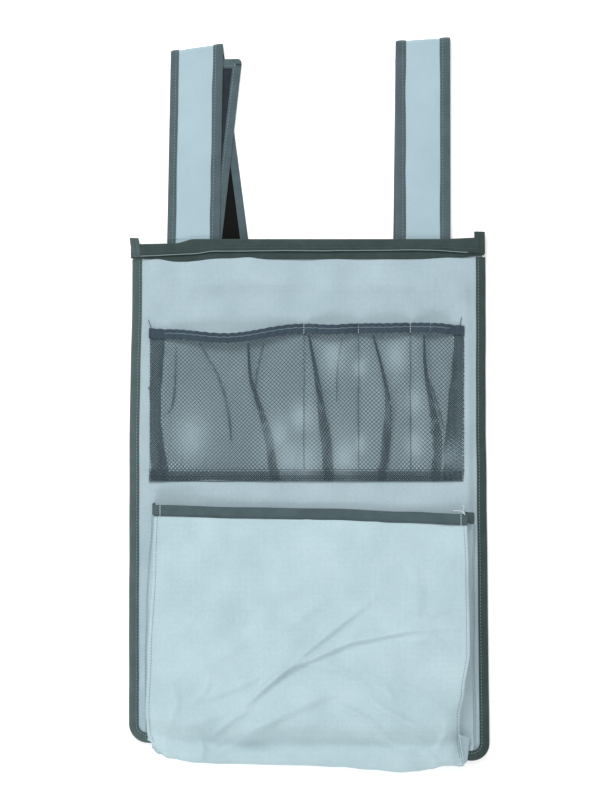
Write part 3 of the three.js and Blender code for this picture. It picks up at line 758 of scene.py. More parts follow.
def net_piece(name, u_range, v_range, mapping, cell=CELL_WIDTH, shift=0.0, strand=STRAND,
              over=False, material=NET):
    """A knotted net over a flat rectangle: knots in staggered rows, with two strands up from each.
    With over, strands that leave the rectangle reach their next knot outside it."""
    columns = np.arange(math.floor(u_range[0] / cell) - 1, math.ceil(u_range[1] / cell) + 2)
    rows = np.arange(0, int((v_range[1] - v_range[0]) / CELL_ROW) + 1)
    column, line = np.meshgrid(columns, rows)
    u = (column + 0.5 * (line % 2) + shift) * cell
    v = v_range[0] + line * CELL_ROW
    u = u + 0.16 * waves(u, v, 9, 41)
    v = v + 0.12 * waves(u, v, 7, 42)
    inside = (u >= u_range[0]) & (u <= u_range[1])
    knots = np.stack(mapping(u, v), axis=2)
    starts, ends = [], []
    for odd in (0, 1):
        here = np.arange(odd, len(rows) - 1, 2)
        for step in (0, 1):
            source = np.arange(1 - odd, len(columns) - odd)
            target = source + (step if odd else -step)
            i, j = np.meshgrid(here, source, indexing="ij")
            k = np.broadcast_to(target, i.shape)
            good = inside[i, j] & (inside[i + 1, k] | over)
            starts.append(knots[i, j][good])
            ends.append(knots[i + 1, k][good])
    starts, ends = np.vstack(starts), np.vstack(ends)
    along = ends - starts
    side = unit(np.cross([0, 0, 1.0], unit(along)))
    up = np.cross(unit(along), side)
    slim = strand * (1.12 - 0.72 * openness(starts[:, :1], TOP_Y - starts[:, 1:2]))
    bars = many(BAR_POINTS, BAR_FACES, (starts, np.stack([along, side * slim, up * slim], axis=1)))
    centre = knots[inside]
    slim = 1.1 - 0.5 * openness(centre[:, 0], TOP_Y - centre[:, 1])
    flat = np.diag([KNOT * 0.85, KNOT * 1.35, KNOT * 0.5]) * slim[:, None, None]
    lumps = many(OCTA_POINTS, OCTA_FACES, (centre, flat))
    points = np.vstack([bars[0], lumps[0]])
    faces = np.vstack([bars[1], lumps[1] + len(bars[0])])
    return make_object(name, points, faces, material, flat=True)


def pull_folds(x, y):
    """Draws the net's cells together along its pleats, as slack net bunches there."""
    drop = TOP_Y - y
    shifted = x.copy()
    for path, width, height in PLEATS:
        path = np.array(path, float)
        middle = np.interp(drop, path[:, 1], path[:, 0])
        live = smooth((drop - path[0, 1]) / 6) * smooth((path[-1, 1] - drop) / 12)
        away = x - middle
        reach = 3.0 + 0.6 * width
        shifted = shifted - live * 0.3 * min(height, 1.3) * away * np.exp(-(away / reach) ** 2)
    return shifted


def lay_on_net(u, v):
    """Net cells laid on the compartments, drawn together at pleats and up to the wavy elastic."""
    share = (v - HEM_NET_TOP) / NET_HEIGHT
    top = drop_y(elastic_drop(u) + 8.4)
    y = HEM_NET_TOP + share * (top - HEM_NET_TOP)
    x = pull_folds(u, y)
    return x, y, net_surface(x, y)


def halves(left, right):
    """A compartment's two halves, each with the X it runs from and to."""
    middle = (left + right) / 2
    return ("left", left, middle), ("right", middle, right)


def bent_half(obj, slot_name, compartment, side, *nodes):
    """Half of a compartment's piece bends from the seam beside it out to mid-compartment."""
    name, left, right = compartment
    middle, y, z = (left + right) / 2, (NET_TOP + HEM_NET_TOP) / 2, SEWN_ON
    seam = left if side == "left" else right
    if side == "left" and nodes:
        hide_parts(*nodes)
    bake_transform(obj, "panel", f"{name}_compartment", start=(seam * MM, y * MM, z * MM),
             end=(middle * MM, y * MM, z * MM))


UNDER_EDGE = 5.5                       # how far the outer nets reach under the doubled net
for compartment in compartments:
    name, left, right = compartment
    for side, low, high in halves(left, right):
        span = (low - UNDER_EDGE * (low == DOUBLE_LEFT), high + UNDER_EDGE * (high == DOUBLE_RIGHT))
        piece = net_piece(f"{name}_net_{side}", span, (HEM_NET_TOP - 1, NET_TOP), lay_on_net, over=True)
        bent_half(piece, "net", compartment, side, f"{name}_net")

# One more layer of net along each pleat, where the cloth lies double.
PLEAT_RISE = 0.95
for i, (path, width, height) in enumerate(PLEATS):
    path = np.array(path, float)
    curve = spline(path, 40)
    middle = np.interp(path[:, 1].mean(), curve[:, 1], curve[:, 0])
    compartment = next(c for c in compartments if c[1] <= middle <= c[2])
    side = "left" if middle < (compartment[1] + compartment[2]) / 2 else "right"
    deep = height > 1
    low = max(TOP_Y - path[-1, 1], HEM_NET_TOP)

    def along_pleat(u, v, curve=curve, deep=deep):
        drop = TOP_Y - v
        down = (drop - curve[0, 1]) / (curve[-1, 1] - curve[0, 1])
        if deep:
            share = 0.2 + 0.8 * smooth(down * 1.15)
        else:
            share = 0.45 + 0.35 * np.sin(math.pi * np.clip(down, 0, 1))
        share = share * (1 + 0.12 * waves(v, 0 * v, 30, 47))
        x = np.interp(drop, curve[:, 1], curve[:, 0]) + u * share
        return x, v, net_surface(x, v) + PLEAT_RISE

    # Deep pleats take the net thread with the deepest painted shade, shallow ones the doubled net's painted
    # shade.
    piece = net_piece(
        f"{compartment[0]}_pleat_{i + 1}_1", (-width / 2 - 0.6, width / 2 + 0.6), (low, TOP_Y - path[0, 1]),
        along_pleat, cell=3.2, shift=0.4, strand=0.62 if deep else 0.5,
        material=NET_FOLD_SHADED if deep else NET_DOUBLE_SHADED,
    )
    bent_half(piece, "net", compartment, side)


def flat_net(rise, side=None):
    """Net cells laid on the panel; the doubled net's inner edge at each side is not straight."""
    def mapping(u, v):
        x = u
        if side == "left":
            bound = ease(TOP_Y - v, [80, 159, 224], [-131.6, -135.5, -128])
            x = NET_LEFT + (u - NET_LEFT) * (bound - NET_LEFT) / (DOUBLE_LEFT - NET_LEFT)
        if side == "right":
            bound = ease(TOP_Y - v, [80, 122, 160, 192, 224], [136.5, 133, 129, 126, 124])
            x = NET_RIGHT - (NET_RIGHT - u) * (NET_RIGHT - bound) / (NET_RIGHT - DOUBLE_RIGHT)
        x = x + 0.35 * waves(v, 0 * v, 26, 46) * (side is not None)
        return x, v, SEWN_ON + 0.5 + rise + 0.15 * waves(u, v, 12, 45)
    return mapping


NET_HEM_LOW = NET_BOTTOM - 3.4         # the hem hangs a little lower than its seam
# The doubled net at both sides is drawn in the net thread with painted shade.
for side, low, high in NET_SIDES:
    top = TOP_Y - float(elastic_drop((low + high) / 2)) - 6
    for layer in (1, 2):
        piece = net_piece(f"{side}_net_edge_{layer}", (low, high), (NET_HEM_LOW + 1, top),
                          flat_net(0.55 * (layer - 1), side), shift=0.45 * layer, cell=3.5, strand=0.5,
                          material=NET_DOUBLE_SHADED)
        place(piece, "panel", "net", *([f"{side}_net_edge"] if layer == 1 else []))

# The net's hem, in two layers, also takes the net thread with painted shade.
for layer in (1, 2):
    piece = net_piece(f"net_hem_{layer}", (NET_LEFT, NET_RIGHT), (NET_HEM_LOW, HEM_NET_TOP),
                      flat_net(0.5 * (layer - 1)), shift=0.42 * layer, strand=0.5, material=NET_DOUBLE_SHADED)
    place(piece, "panel", "net", *(["net_bottom_hem"] if layer == 1 else []))
# The folded hem under each deep pleat takes the net thread with the deepest painted shade.
for i, (path, width, height) in enumerate(PLEATS):
    if height > 1:
        x = path[-1][0]
        span = (x - width / 2, x + width / 2 + 1)
        piece = net_piece(f"net_hem_fold_{i + 1}", span, (NET_HEM_LOW + 0.6, HEM_NET_TOP + 1),
                          flat_net(1.0), shift=0.2, strand=0.55, material=NET_FOLD_SHADED)
        place(piece, "panel", "net")

# Cords along the hem, in the net thread with painted shade.
hem_line_x = np.linspace(NET_LEFT, NET_RIGHT, 200)
for i, at in enumerate((NET_HEM_LOW + 0.3, NET_HEM_LOW + 2.6, NET_HEM_LOW + 5.0, HEM_NET_TOP - 0.6)):
    line = np.column_stack([hem_line_x, at + 0.25 * waves(hem_line_x, 0, 40, 50 + i),
                            np.full(200, SEWN_ON + 1.5)])
    place(thread(f"net_hem_cord_{i + 1}", line[::8], 0.3, NET_DOUBLE_SHADED), "panel", "net")


# ---- Ribbed elastic along the mouths ----

ELASTIC_HEIGHT = 9.0
ELASTIC_STEP = 0.8
RIB_AT = 10                            # which of the points down the front carries the raised cord
rib_v = np.linspace(0, 1, 25)
RIB = 0.28 * np.abs(np.sin(rib_v * math.pi * 3.5)) ** 0.7


def elastic_rings(low, high):
    """Cross-sections of the elastic: ribs in front and a plain back."""
    rings = []
    for x in np.arange(low, high + 0.5, ELASTIC_STEP):
        top_y = float(drop_y(elastic_drop(x)))
        base = float(net_surface(np.array([x]), np.array([NET_TOP]))[0])
        top_y += 0.25 * math.sin(x * 2 * math.pi / 7.3 + 1.3 * math.sin(x / 9))
        pucker = 0.15 * math.sin(x * 2 * math.pi / 3.3)
        front = [(x, top_y - v * ELASTIC_HEIGHT, base + 1.1 + r + pucker * v * 1.4)
                 for v, r in zip(rib_v, RIB)]
        back = [(x, top_y - v * ELASTIC_HEIGHT, base - 0.2) for v in (1, 0.5, 0)]
        rings.append(front + back)
    return np.array(rings)


def rib_rings(low, high):
    """A fine raised cord along the elastic."""
    middle = elastic_rings(low, high)[:, RIB_AT] + [0, 0, 0.05]
    a = np.linspace(0, 2 * math.pi, 6, endpoint=False)
    ring = np.stack([0 * a, 0.3 * np.cos(a), 0.3 * np.sin(a)], axis=1)
    return middle[:, None] + ring[None]


for compartment in compartments:
    name, left, right = compartment
    for side, low, high in halves(left, right):
        rib = sweep(f"{name}_elastic_rib_{side}_1", rib_rings(low, high), ELASTIC_RIB)
        bent_half(rib, "elastic", compartment, side)
        piece = sweep(f"{name}_elastic_{side}", elastic_rings(low, high), ELASTIC)
        bent_half(piece, "elastic", compartment, side, f"{name}_elastic")
for side, low, high in NET_SIDES:
    piece = sweep(f"{side}_elastic_end_tape", elastic_rings(low, high), ELASTIC)
    place(piece, "panel", "elastic", f"{side}_elastic_end")

# Stitching down the dividers and through the elastic.
for i, x in enumerate(DIVIDERS):
    top = float(drop_y(elastic_drop(x)))
    ys = np.linspace(HEM_NET_TOP, top - ELASTIC_HEIGHT, 60)
    line = np.column_stack([x + 0.3 * waves(ys, 0, 30, 60 + i), ys, np.full(60, SEWN_ON + 1.15)])
    place(stitches(f"divider_stitches_{i + 1}", line, UP, DARK_THREAD, 2.8, 2.1, 0.7),
          "panel", "thread", f"divider_seam_{i + 1}")
    across = np.array([(x, top + 0.3, SEWN_ON + 2.0), (x, top - ELASTIC_HEIGHT - 1, SEWN_ON + 2.4)])
    sew(f"elastic_tack_{i + 1}", "panel", across, UP, THREAD, 2.4, 2.1, 0.6)
for side, x in (("left", NET_LEFT + 1.2), ("right", NET_RIGHT - 1.2)):
    top = float(drop_y(elastic_drop(x)))
    line = np.array([(x, top, SEWN_ON + 2.3), (x, NET_BOTTOM, SEWN_ON + 1.7)])
    sew(f"{side}_net_edge_stitches", "panel", line, UP, DARK_THREAD, 2.8, 2.1, 0.7)


# ---- Bottom pocket ----

POCKET_JOINT_LOW, POCKET_JOINT_HIGH = SEWN_ON + 0.4, 12.0   # the cloth bends between these heights
MOUTH_DROP = 248.0
MOUTH_HEIGHT = 13.0
MOUTH_FADE = 110                       # over this drop the shape of the mouth dies away
DEEPEST = 492.0
FRONT_SHARE = 0.93                     # the rest of the front's rows are turned under

# The front's outer face: (drop, height) from the mouth down, over the bulge and under to its seam.
POCKET_FACE = [
    (MOUTH_DROP, MOUTH_HEIGHT), (300, 15.4), (360, 19.6), (415, 24.0), (444, 27.0), (453, 26.0), (460, 21.6),
    (468, 16.6), (478, 15.2), (488, 14.0), (DEEPEST, 11.6), (488, 8.2), (482, 6.6), (475, 6.2),
]
LEFT_EDGE = ([246, 300, 383, 438, 470, 492], [-141.5, -143, -147, -149, -148, -143])
RIGHT_EDGE = ([246, 300, 380, 418, 440, 465, 492], [147, 148.8, 149.5, 144.5, 140.5, 140.5, 143.5])
BOTTOM_LINE = (
    [-150, -144, -137, -128, -102, -81, -7, 30, 58, 86, 100, 113, 127, 155],
    [463, 468, 474, 479, 483, 484, 485.5, 487, 489.5, 492, 491, 489, 486, 485],
)
# Wrinkles of the slack front: path of (x, drop), width, height.
WRINKLES = [
    ([(-64, 438), (-30, 406), (10, 372), (62, 331)], 3.2, 1.5),
    ([(-62, 432), (-20, 398), (40, 372), (92, 362), (136, 360)], 3.0, 1.7),
    ([(-96, 470), (-50, 452), (2, 428), (30, 416)], 4.6, 1.2),
    ([(24, 428), (48, 440), (70, 452)], 2.6, 1.1),
    ([(60, 428), (90, 446), (128, 464)], 3.4, 1.3),
    ([(50, 398), (72, 412), (80, 430)], 3.0, 0.7),
    ([(-108, 430), (-94, 418), (-90, 404)], 2.6, 0.7),
    ([(-100, 398), (-60, 372), (-20, 352)], 6.0, 0.7),
    ([(-138, 366), (-112, 362), (-90, 372)], 6.0, 0.6),
    ([(-101, 458), (-96, 470), (-99, 482)], 3.4, 1.0),
    ([(92, 372), (112, 368), (128, 376)], 5.0, 0.7),
    ([(104, 470), (124, 486)], 3.4, 0.9),
    ([(128, 454), (118, 474)], 3.4, 0.7),
    ([(-84, 322), (-40, 330), (12, 318)], 10, 0.5),
    ([(96, 300), (104, 330), (100, 350)], 5, 0.5),
    ([(-40, 372), (-6, 350), (20, 330)], 5, 0.6),
    ([(-108, 430), (-60, 412), (-34, 398)], 3.4, 0.8),
    ([(-92, 462), (-70, 444), (-52, 434)], 2.6, 0.9),
    ([(-118, 452), (-84, 440), (-62, 438)], 4.0, 0.6),
    ([(-4, 392), (30, 398), (58, 414)], 3.0, 0.6),
    ([(70, 408), (100, 418), (132, 440)], 4.0, 0.7),
    ([(88, 340), (112, 346), (136, 340)], 4.0, 0.5),
    ([(-20, 438), (-60, 462), (-84, 476)], 3.0, 1.0),
    ([(-126, 402), (-120, 430), (-128, 452)], 3.6, 0.7),
    ([(60, 458), (84, 470), (104, 474)], 3.0, 0.9),
]


def mouth_drop(x):
    """How far the pocket's mouth lies below the panel's top edge, along X."""
    return ease(x, [-142, -60, 20, 90, 148], [245.6, 247.6, 248.8, 251.6, 254.0])


def mouth_lift(x):
    """The mouth stands up a little near its left end, and sags between there and the right."""
    left_end = 5.6 * np.exp(-((x + 120) / 30) ** 2)
    return left_end + 0.5 * waves(x, 0, 90, 70) + 3.0 * smooth((x - 100) / 40)


def pocket_grid(rows, cols):
    """The front's outer face: row by row from its mouth down and under to its seam."""
    face = spline(POCKET_FACE, rows)
    share = np.linspace(0, 1, cols)[None]
    drop, height = face[:, :1], face[:, 1:]
    left, right = ease(drop, *LEFT_EDGE), ease(drop, *RIGHT_EDGE)
    x = left + share * (right - left)
    low = ease(x, *BOTTOM_LINE)
    drop = np.where(drop > 430, 430 + (drop - 430) * (low - 430) / (DEEPEST - 430), drop)
    drop = drop + (mouth_drop(x) + 1.2 - MOUTH_DROP) * (1 - smooth((drop - MOUTH_DROP) / MOUTH_FADE))
    under = np.cumsum(np.ones_like(face[:, :1]), axis=0) / rows > FRONT_SHARE
    to_edge = 1 - np.abs(2 * share - 1)
    corner = 1 - 0.45 * np.exp(-(to_edge / 0.055) ** 2) * smooth((drop - 400) / 70)
    z = SEWN_ON + (height - SEWN_ON) * np.where(under, 1, corner)
    z = z + mouth_lift(x) * (1 - smooth((drop - MOUTH_DROP) / 90))
    band = np.exp(-((drop - 467) / 6.5) ** 2) * smooth((x + 135) / 40) * smooth((100 - x) / 40)
    z = z - np.where(under, 0, 1) * band * (3.0 + waves(x, 0 * x, 60, 74))
    live = smooth((drop - MOUTH_DROP - 4) / 20) * np.where(under, 0, 1)
    live = live * smooth(to_edge / 0.03)
    for path, width, size in WRINKLES:
        z = z + live * ridge(x, drop, path, width, 2.5 * size)
    uneven = 0.9 * waves(x, drop, 75, 71) + 0.5 * waves(x, drop, 26, 72) + 0.1 * waves(x, drop, 9, 73)
    z = z + live * uneven
    return np.stack([x, drop_y(drop), np.maximum(z, SEWN_ON + 0.5)], axis=2)


pocket = pocket_grid(230, 190)
bend_start, bend_end = (0, 0, POCKET_JOINT_LOW * MM), (0, 0, POCKET_JOINT_HIGH * MM)


def pocket_blend(obj, slot_name, *nodes):
    """Cloth that is sewn to the panel below and follows the pocket's front above."""
    if nodes:
        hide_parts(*nodes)
    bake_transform(obj, "panel", "pocket_front", start=bend_start, end=bend_end)


pocket_cloth = shell("bottom_pocket_cloth", pocket, 0.9, POCKET_CLOTH)
pocket_blend(pocket_cloth, "light_fabric", "bottom_pocket_front")


def gusset_grid(side, rows=120, cols=22):
    """From its seam on the panel up to the front's edge, with a fold drawn inwards."""
    edge_line = pocket[: int(len(pocket) * FRONT_SHARE), 0 if side < 0 else -1]
    pick = np.linspace(0, len(edge_line) - 1, rows).astype(int)
    top = edge_line[pick]
    box_low, box_high = cad("left_gusset" if side < 0 else "right_gusset")
    base_x = box_low[0] if side < 0 else box_high[0]
    base_y = np.maximum(top[:, 1], BOTTOM_Y + 5)
    base = np.column_stack([np.full(rows, base_x), base_y, np.full(rows, SEWN_ON + 0.2)])
    near_mouth = 1 - smooth((TOP_Y - base_y - MOUTH_DROP) / MOUTH_FADE)
    if side < 0:
        base[:, 0] += near_mouth * 5.0
    base[:, 0] += 0.6 * waves(base_y, 0, 50, 80 + side)
    base[:, 1] = np.maximum(base[:, 1], BOTTOM_Y + 5 + (9 if side < 0 else -2))
    t = np.linspace(0, 1, cols)[None, :, None]
    grid = base[:, None] * (1 - t) + (top - [0, 0, 0.9])[:, None] * t
    depth = (3.0 + 1.6 * waves(base_y, 0, 80, 83 + side))[:, None]
    inwards = -side * np.sin(math.pi * t[..., 0]) * depth
    if side < 0:
        inwards = inwards * (1 - 0.8 * near_mouth)[:, None]
    grid[..., 0] += inwards
    grid[..., 2] += 0.5 * np.sin(math.pi * t[..., 0]) * waves(base_y, 0, 22, 85 + side)[:, None]
    return grid


for side, word in ((-1, "left"), (1, "right")):
    grid = gusset_grid(side)
    pocket_blend(shell(f"{word}_gusset_cloth", grid, 0.7, POCKET_CLOTH), "light_fabric", f"{word}_gusset")
    ys = grid[4:-4, 0, 1]
    line = np.column_stack([grid[4:-4, 0, 0] + side * 1.3, ys, np.full(len(ys), PANEL_TOP + 0.75)])
    sew(f"{word}_gusset_seam_stitches", "panel", line, UP, SOFT_THREAD, 2.8, 2.0, 0.5)
    seam = pocket[8: int(len(pocket) * 0.9), 2 if side < 0 else -3] + [0, 0, 0.12]
    row = stitches(f"{word}_pocket_edge_stitches", seam, UP, SOFT_THREAD, 2.8, 2.1, 0.55)
    pocket_blend(row, "thread")
    # The bound mouth of the gusset: a short tape from the panel up to the front.
    outline = tape_profile(10.5, -0.9, 0.9, 0.5)
    rings = []
    for t in np.linspace(0.0, 1.0, 24):
        p = grid[0, int(round(t * (grid.shape[1] - 1)))]
        rings.append([(p[0] + v, p[1] + 3.2 - u, p[2] + 0.4) for u, v in outline])
    tape = sweep(f"{word}_gusset_mouth_tape", np.array(rings), MOUTH_TAPE)
    pocket_blend(tape, "binding_tape", f"{word}_gusset_binding")

# A tuck at the foot of the right gusset, where its cloth is folded over itself.
down = np.linspace(0, 1, 12)[:, None, None]
across = np.linspace(0, 1, 8)[None, :, None]
outer = np.array([139.8, drop_y(457.5), 19.0]) * (1 - down) + np.array([144.0, drop_y(484), 9.0]) * down
inner = np.array([150.5, drop_y(460.5), 9.5]) * (1 - down) + np.array([147.0, drop_y(482), 7.2]) * down
tuck = outer * (1 - across) + inner * across
pocket_blend(shell("right_gusset_tuck", tuck, 0.7, POCKET_CLOTH), "light_fabric")
tuck_fold = np.array([(139.6, drop_y(457), 19.6), (141.2, drop_y(468), 16.4), (144.2, drop_y(484.5), 9.4)])
pocket_blend(thread("right_gusset_tuck_fold", tuck_fold, 0.7, POCKET_CLOTH), "light_fabric")

mouth_x = np.linspace(pocket[0, 0, 0] - 0.4, pocket[0, -1, 0] + 0.4, 150)
mouth_base = MOUTH_HEIGHT + mouth_lift(mouth_x)
mouth_profile = tape_profile(10.6, -1.7, 0.75, 0.6)
mouth_rings = np.empty((len(mouth_x), len(mouth_profile), 3))
mouth_rings[..., 0] = mouth_x[:, None]
mouth_rings[..., 1] = drop_y(mouth_drop(mouth_x))[:, None] - mouth_profile[None, :, 0]
mouth_rings[..., 2] = mouth_base[:, None] + mouth_profile[None, :, 1]
mouth_rings[..., 2] += (0.25 * waves(mouth_x, 0, 26, 90))[:, None]
mouth_tape = sweep("pocket_mouth_tape", mouth_rings, MOUTH_TAPE)
place(mouth_tape, "pocket_front", "binding_tape", "bottom_pocket_mouth_binding")
line = np.column_stack([mouth_x, drop_y(mouth_drop(mouth_x) + 9.2), mouth_base + 1.1])
sew("pocket_mouth_stitches", "pocket_front", line, UP, DARK_THREAD, 2.8, 2.1, 0.5)
for i, x in enumerate((mouth_x[3], mouth_x[-4])):
    top = float(drop_y(mouth_drop(x)))
    rise = float(MOUTH_HEIGHT + mouth_lift(np.array([x]))[0]) + 1.15
    line = np.array([(x, top - 0.5, rise), (x, top - 11.5, rise)])
    sew(f"pocket_mouth_tack_{i + 1}", "pocket_front", line, UP, THREAD, 2.2, 2.0, 0.65)


# ---- Hanger straps ----
# A point on a strap is given across it from its centre line, along it from the hem, and out from
# its middle layer. The long strap runs up the front, over the fold and down the back.

STRAP_HALF = 25.0
STRAP_THICK = 2.0
STRAP_START = 0.4
TAPE_WALL = 0.4
ROW_HEIGHT = 1.1
ROW_SIZES = (3.0, 2.2, 0.5)
ROOT_END = 1.2                         # up to here the strap bends at the hem
FRONT_MIDDLE = cad("left_front_strap_binding_left")[1][2] - STRAP_THICK / 2
REAR_MIDDLE = 1.38
HOOK_MIDDLE = cad("left_hook_strap_binding")[0][2] + STRAP_THICK / 2
FOLD_RADIUS = (FRONT_MIDDLE - REAR_MIDDLE) / 2

# Per hanger: half its width and its tapes' widths; where the centre lines of its runs lie across
# the panel, at the hem and at the top; how far up its ends are, and how much those slant.
HANGERS = {
    "left": {
        "half": 24.4, "tapes": (7.8, 9.6), "low": -105.9, "high": -102.8, "rear_low": -79.2,
        "hook_low": -104.6, "hook_high": -85.7, "fold": 178.0, "slope": 0.138, "hook_tip": 170.0,
        "hook_slope": 0.03,
    },
    "right": {
        "half": 25.5, "tapes": (9.2, 9.6), "low": 107.2, "high": 107.4, "rear_low": 105.0,
        "hook_low": 107.0, "hook_high": 106.5, "fold": 185.6, "slope": 0.068, "hook_tip": 174.0,
        "hook_slope": 0.0,
    },
}


def long_strap(sizes, seed):
    """Returns the rule that places (across, along, out) on the long strap, and the run lengths."""
    length = sizes["fold"] - STRAP_START
    turn = math.pi * FOLD_RADIUS
    low, high, rear_low = sizes["low"], sizes["high"], sizes["rear_low"]

    def rule(across, along, out):
        across, along, out = np.broadcast_arrays(across, along, out)
        angle = np.clip(along - length, 0, turn) / FOLD_RADIUS
        back = np.clip(along - length - turn, 0, None)
        front = np.where(along <= length, along, length)
        stretch = 1 + sizes["slope"] * across / length
        across = across * sizes["half"] / STRAP_HALF
        to_fold = length - along
        ripple = 0.2 * waves(across * 0.4, along, 60, seed) * smooth(along / 30) * smooth(to_fold / 25)
        cup = -0.25 * (across / STRAP_HALF) ** 2 * smooth(along / 20) * smooth(to_fold / 20)
        x = low + front / length * (high - low) + across
        y = STRAP_START + front * stretch
        z = FRONT_MIDDLE + out + np.where(along < length, ripple + cup, 0)
        fold_y = STRAP_START + length * stretch + (FOLD_RADIUS + out) * np.sin(angle)
        fold_z = (FRONT_MIDDLE + REAR_MIDDLE) / 2 + (FOLD_RADIUS + out) * np.cos(angle)
        in_fold = (along > length) & (along <= length + turn)
        x = np.where(in_fold, high + across, x)
        y, z = np.where(in_fold, fold_y, y), np.where(in_fold, fold_z, z)
        rear_share = 1 - back / length
        rear_x = rear_low + rear_share * (high - rear_low) + across
        rear_y = STRAP_START + length * rear_share * stretch
        behind = along > length + turn
        x, y = np.where(behind, rear_x, x), np.where(behind, rear_y, y)
        return np.stack([x, y + TOP_Y, np.where(behind, REAR_MIDDLE - out, z)], axis=-1)

    return rule, length, length + turn, 2 * length + turn


def hook_strap(sizes):
    """Returns the rule that places (across, along, out) on the short strap, and its length."""
    length = sizes["hook_tip"] - STRAP_START

    def rule(across, along, out):
        across, along, out = np.broadcast_arrays(across, along, out)
        x = sizes["hook_low"] + along / length * (sizes["hook_high"] - sizes["hook_low"]) + across
        y = STRAP_START + along * (1 + sizes["hook_slope"] * across / length)
        return np.stack([x, y + TOP_Y, HOOK_MIDDLE + out], axis=-1)

    return rule, length


def ribbon(name, rule, half, stops, out_low, out_high, material, crown=0.0):
    """A flat layer as wide as twice half, as a closed solid."""
    a = np.linspace(-half, half, 15)
    u = np.linspace(-1, 1, 15)
    top, bottom = out_high + crown * (1 - u ** 2), np.full(15, out_low)
    ring_a = np.concatenate([a, a[::-1]])
    ring_n = np.concatenate([top, bottom])
    rings = rule(ring_a[None], np.asarray(stops)[:, None], ring_n[None])
    return sweep(name, rings, material)


def edge_tape(name, rule, side, stops, wobble_seed, width):
    """The narrow tape folded over one edge of a strap."""
    shape = tape_profile(width, -STRAP_THICK / 2, STRAP_THICK / 2, TAPE_WALL)
    uneven = 0.3 * waves(stops, 0, 45, wobble_seed)
    across = side * (STRAP_HALF - shape[None, :, 0] * (1 + uneven[:, None] / width))
    return sweep(name, rule(across, stops[:, None], shape[None, :, 1]), STRAP_TAPE)


def strap_row(name, rule, across, stops):
    line = rule(across, stops, ROW_HEIGHT)
    above = rule(across, stops, ROW_HEIGHT + 1.0)
    return stitches(name, line, above - line, SOFT_THREAD, *ROW_SIZES)


FACE_HALF = STRAP_HALF - 7.4
ROW_INSET = 2.6                        # from the tape's lip back to its stitches


def strap_parts(prefix, rule, stops, finish, nodes, seed, tapes):
    """All layers of a stretch of the long strap; finish says how each of them moves."""
    left, right = tapes
    parts = [
        (ribbon(f"{prefix}_cloth", rule, FACE_HALF, stops, -0.35, 0.45, STRAP_CLOTH, 0.35),
         "light_fabric", "cloth"),
        (edge_tape(f"{prefix}_binding_left", rule, -1, stops, seed, left), "binding_tape", "left"),
        (edge_tape(f"{prefix}_binding_right", rule, 1, stops, seed + 1, right), "binding_tape", "right"),
        (strap_row(f"{prefix}_stitches_left", rule, -STRAP_HALF + left - ROW_INSET, stops), "thread", ""),
        (strap_row(f"{prefix}_stitches_right", rule, STRAP_HALF - right + ROW_INSET, stops), "thread", ""),
        (ribbon(f"{prefix}_loop_tape", rule, FACE_HALF - 0.3, stops, -1.12, -0.5, LOOP), "loop_tape", "loop"),
    ]
    for obj, slot_name, part in parts:
        if part in nodes:
            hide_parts(*nodes[part])
        finish(obj)


def hook_tab(hanger, sizes):
    """The short strap between the runs, with hook tape on its upper face and a bound tip."""
    tab_body = f"{hanger}_hook_tab"
    hook_rule, hook_length = hook_strap(sizes)
    stops = np.concatenate([np.arange(0, hook_length - 9, 4.0), [hook_length - 8.6]])
    cloth = ribbon(f"{hanger}_hook_strap_cloth", hook_rule, FACE_HALF, stops, -0.8, 0.2, STRAP_CLOTH)
    place(cloth, tab_body, "light_fabric", f"{hanger}_hook_strap")
    hook_stops = stops - 0.5 * (stops > 4)
    strip = ribbon(f"{hanger}_hook_tape_strip", hook_rule, FACE_HALF - 0.3, hook_stops, 0.25, 1.05, HOOK)
    place(strip, tab_body, "hook_tape", f"{hanger}_hook_tape")
    radius = 5.0
    turn_at, top = STRAP_HALF - radius, hook_length - radius
    path = [(-STRAP_HALF, s) for s in np.arange(0, top, 4.0)]
    path += arc(-turn_at, top, radius, 180, 90, 8)
    path += [(a, hook_length) for a in np.arange(-turn_at + 3, turn_at, 3.0)]
    path += arc(turn_at, top, radius, 90, 0, 8)
    path += [(STRAP_HALF, s) for s in np.arange(top, 0, -4.0)] + [(STRAP_HALF, 0)]
    path = np.array(path)
    inner = -inward(path)
    shape = tape_profile(9.0, -STRAP_THICK / 2, STRAP_THICK / 2, TAPE_WALL)
    flat = path[:, None] + inner[:, None] * shape[None, :, :1]
    rings = hook_rule(flat[..., 0], flat[..., 1], shape[None, :, 1])
    tape = sweep(f"{hanger}_hook_strap_tape", rings, STRAP_TAPE)
    place(tape, tab_body, "binding_tape", f"{hanger}_hook_strap_binding")
    row = path + inner * 6.6
    line = hook_rule(row[:, 0], row[:, 1], 1.25)
    sew(f"{hanger}_hook_strap_stitches", tab_body, line, UP, SOFT_THREAD, *ROW_SIZES)


def sewn_end(hanger, seed):
    """The end behind the hem, seen from the back: a doubled tail with a row of stitches."""
    low, high = cad(f"{hanger}_strap_anchor")
    across = np.linspace(low[0] + 0.3, high[0] - 0.3, 30)
    y, x = np.meshgrid(np.linspace(low[1], high[1], 12), across, indexing="ij")
    tail = np.stack([x, y, 2.6 - 2.4 * smooth((high[1] - y) / 9) + 0.1 * waves(x, y, 14, seed)], axis=2)
    tail_cloth = shell(f"{hanger}_strap_tail", tail, 1.6, STRAP_CLOTH, -1)
    place(tail_cloth, "panel", "light_fabric", f"{hanger}_strap_anchor")
    box_line = np.array([(low[0] + 3, low[1] + 2, 0.5), (high[0] - 3, low[1] + 2, 0.5)])
    sew(f"{hanger}_tail_stitches", "panel", box_line, DOWN, THREAD)


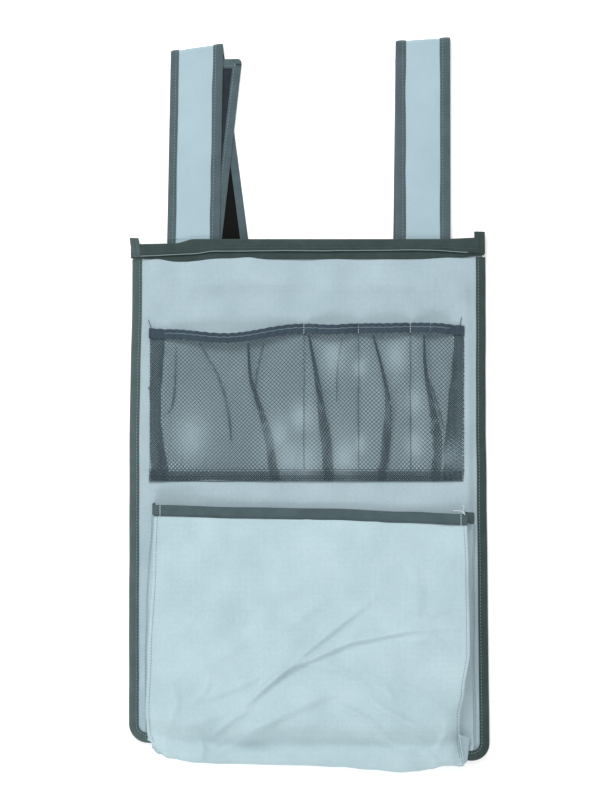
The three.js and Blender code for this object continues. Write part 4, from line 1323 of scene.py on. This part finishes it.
for seed, hanger in ((101, "left"), (131, "right")):
    sizes = HANGERS[hanger]
    rule, front_end, fold_end, far_end = long_strap(sizes, seed)
    body, end_body = f"{hanger}_strap", f"{hanger}_strap_end"

    def bend_root(obj, body=body, x=sizes["low"]):
        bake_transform(obj, "panel", body, start=(x * MM, (TOP_Y - 2) * MM, 0),
                 end=(x * MM, (TOP_Y + ROOT_END) * MM, 0))

    def bend_fold(obj, body=body, end_body=end_body, x=sizes["low"]):
        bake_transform(obj, body, end_body, start=(x * MM, 0, (FRONT_MIDDLE - 2.2) * MM),
                 end=(x * MM, 0, (REAR_MIDDLE + 1.17) * MM))

    root_stops = np.linspace(-9, ROOT_END, 16)
    strap_parts(f"{hanger}_strap_root", rule, root_stops, bend_root, {}, seed, sizes["tapes"])
    main_stops = np.concatenate([
        np.arange(ROOT_END - 0.4, front_end - 4, 3.0), np.linspace(front_end - 4, fold_end + 4, 34),
        np.arange(fold_end + 7, far_end, 3.0), [far_end],
    ])
    nodes = {
        "cloth": (f"{hanger}_front_strap", f"{hanger}_rear_strap", f"{hanger}_strap_fold"),
        "left": (f"{hanger}_front_strap_binding_left", f"{hanger}_rear_strap_binding_left"),
        "right": (f"{hanger}_front_strap_binding_right", f"{hanger}_rear_strap_binding_right"),
        "loop": (f"{hanger}_front_loop_tape", f"{hanger}_rear_loop_tape"),
    }
    strap_parts(f"{hanger}_strap_long", rule, main_stops, bend_fold, nodes, seed, sizes["tapes"])
    hook_tab(hanger, sizes)
    sewn_end(hanger, seed)


# ---- Loose thread ends ----

mouth_right = (mouth_x[-1], float(drop_y(mouth_drop(mouth_x[-1]))), 18.0)
LOOSE = [
    ("mouth_loose_thread_1", "pocket_front", THREAD, 0.28,
     [(-2, -1, 0.5), (-5, 2.0, 0.2), (-9, 3.2, -1), (-13, 3.0, -2)], mouth_right),
    ("mouth_loose_thread_2", "pocket_front", THREAD, 0.25,
     [(-2, -1, 0.5), (-4, 3.0, 0.6), (-3, 6.0, 0.2), (-5, 8.0, -1)], mouth_right),
    ("left_net_loose_thread", "panel", DARK_THREAD, 0.35,
     [(0, 0, 0.4), (-0.6, 3, 0.8), (-1.8, 6, 0.4), (-2.4, 8, 0.1)],
     (NET_LEFT + 2, float(drop_y(elastic_drop(NET_LEFT + 2))), SEWN_ON + 1.4)),
    ("right_net_loose_thread", "panel", DARK_THREAD, 0.35,
     [(0, 0, 0.4), (0.3, 3, 0.8), (0.9, 6, 0.4), (1.0, 7.5, 0.1)],
     (NET_RIGHT - 4, float(drop_y(elastic_drop(NET_RIGHT - 4))), SEWN_ON + 1.4)),
]
for name, body, material, radius, points, at in LOOSE:
    place(thread(name, [np.add(p, at) for p in points], radius, material), body, "thread")
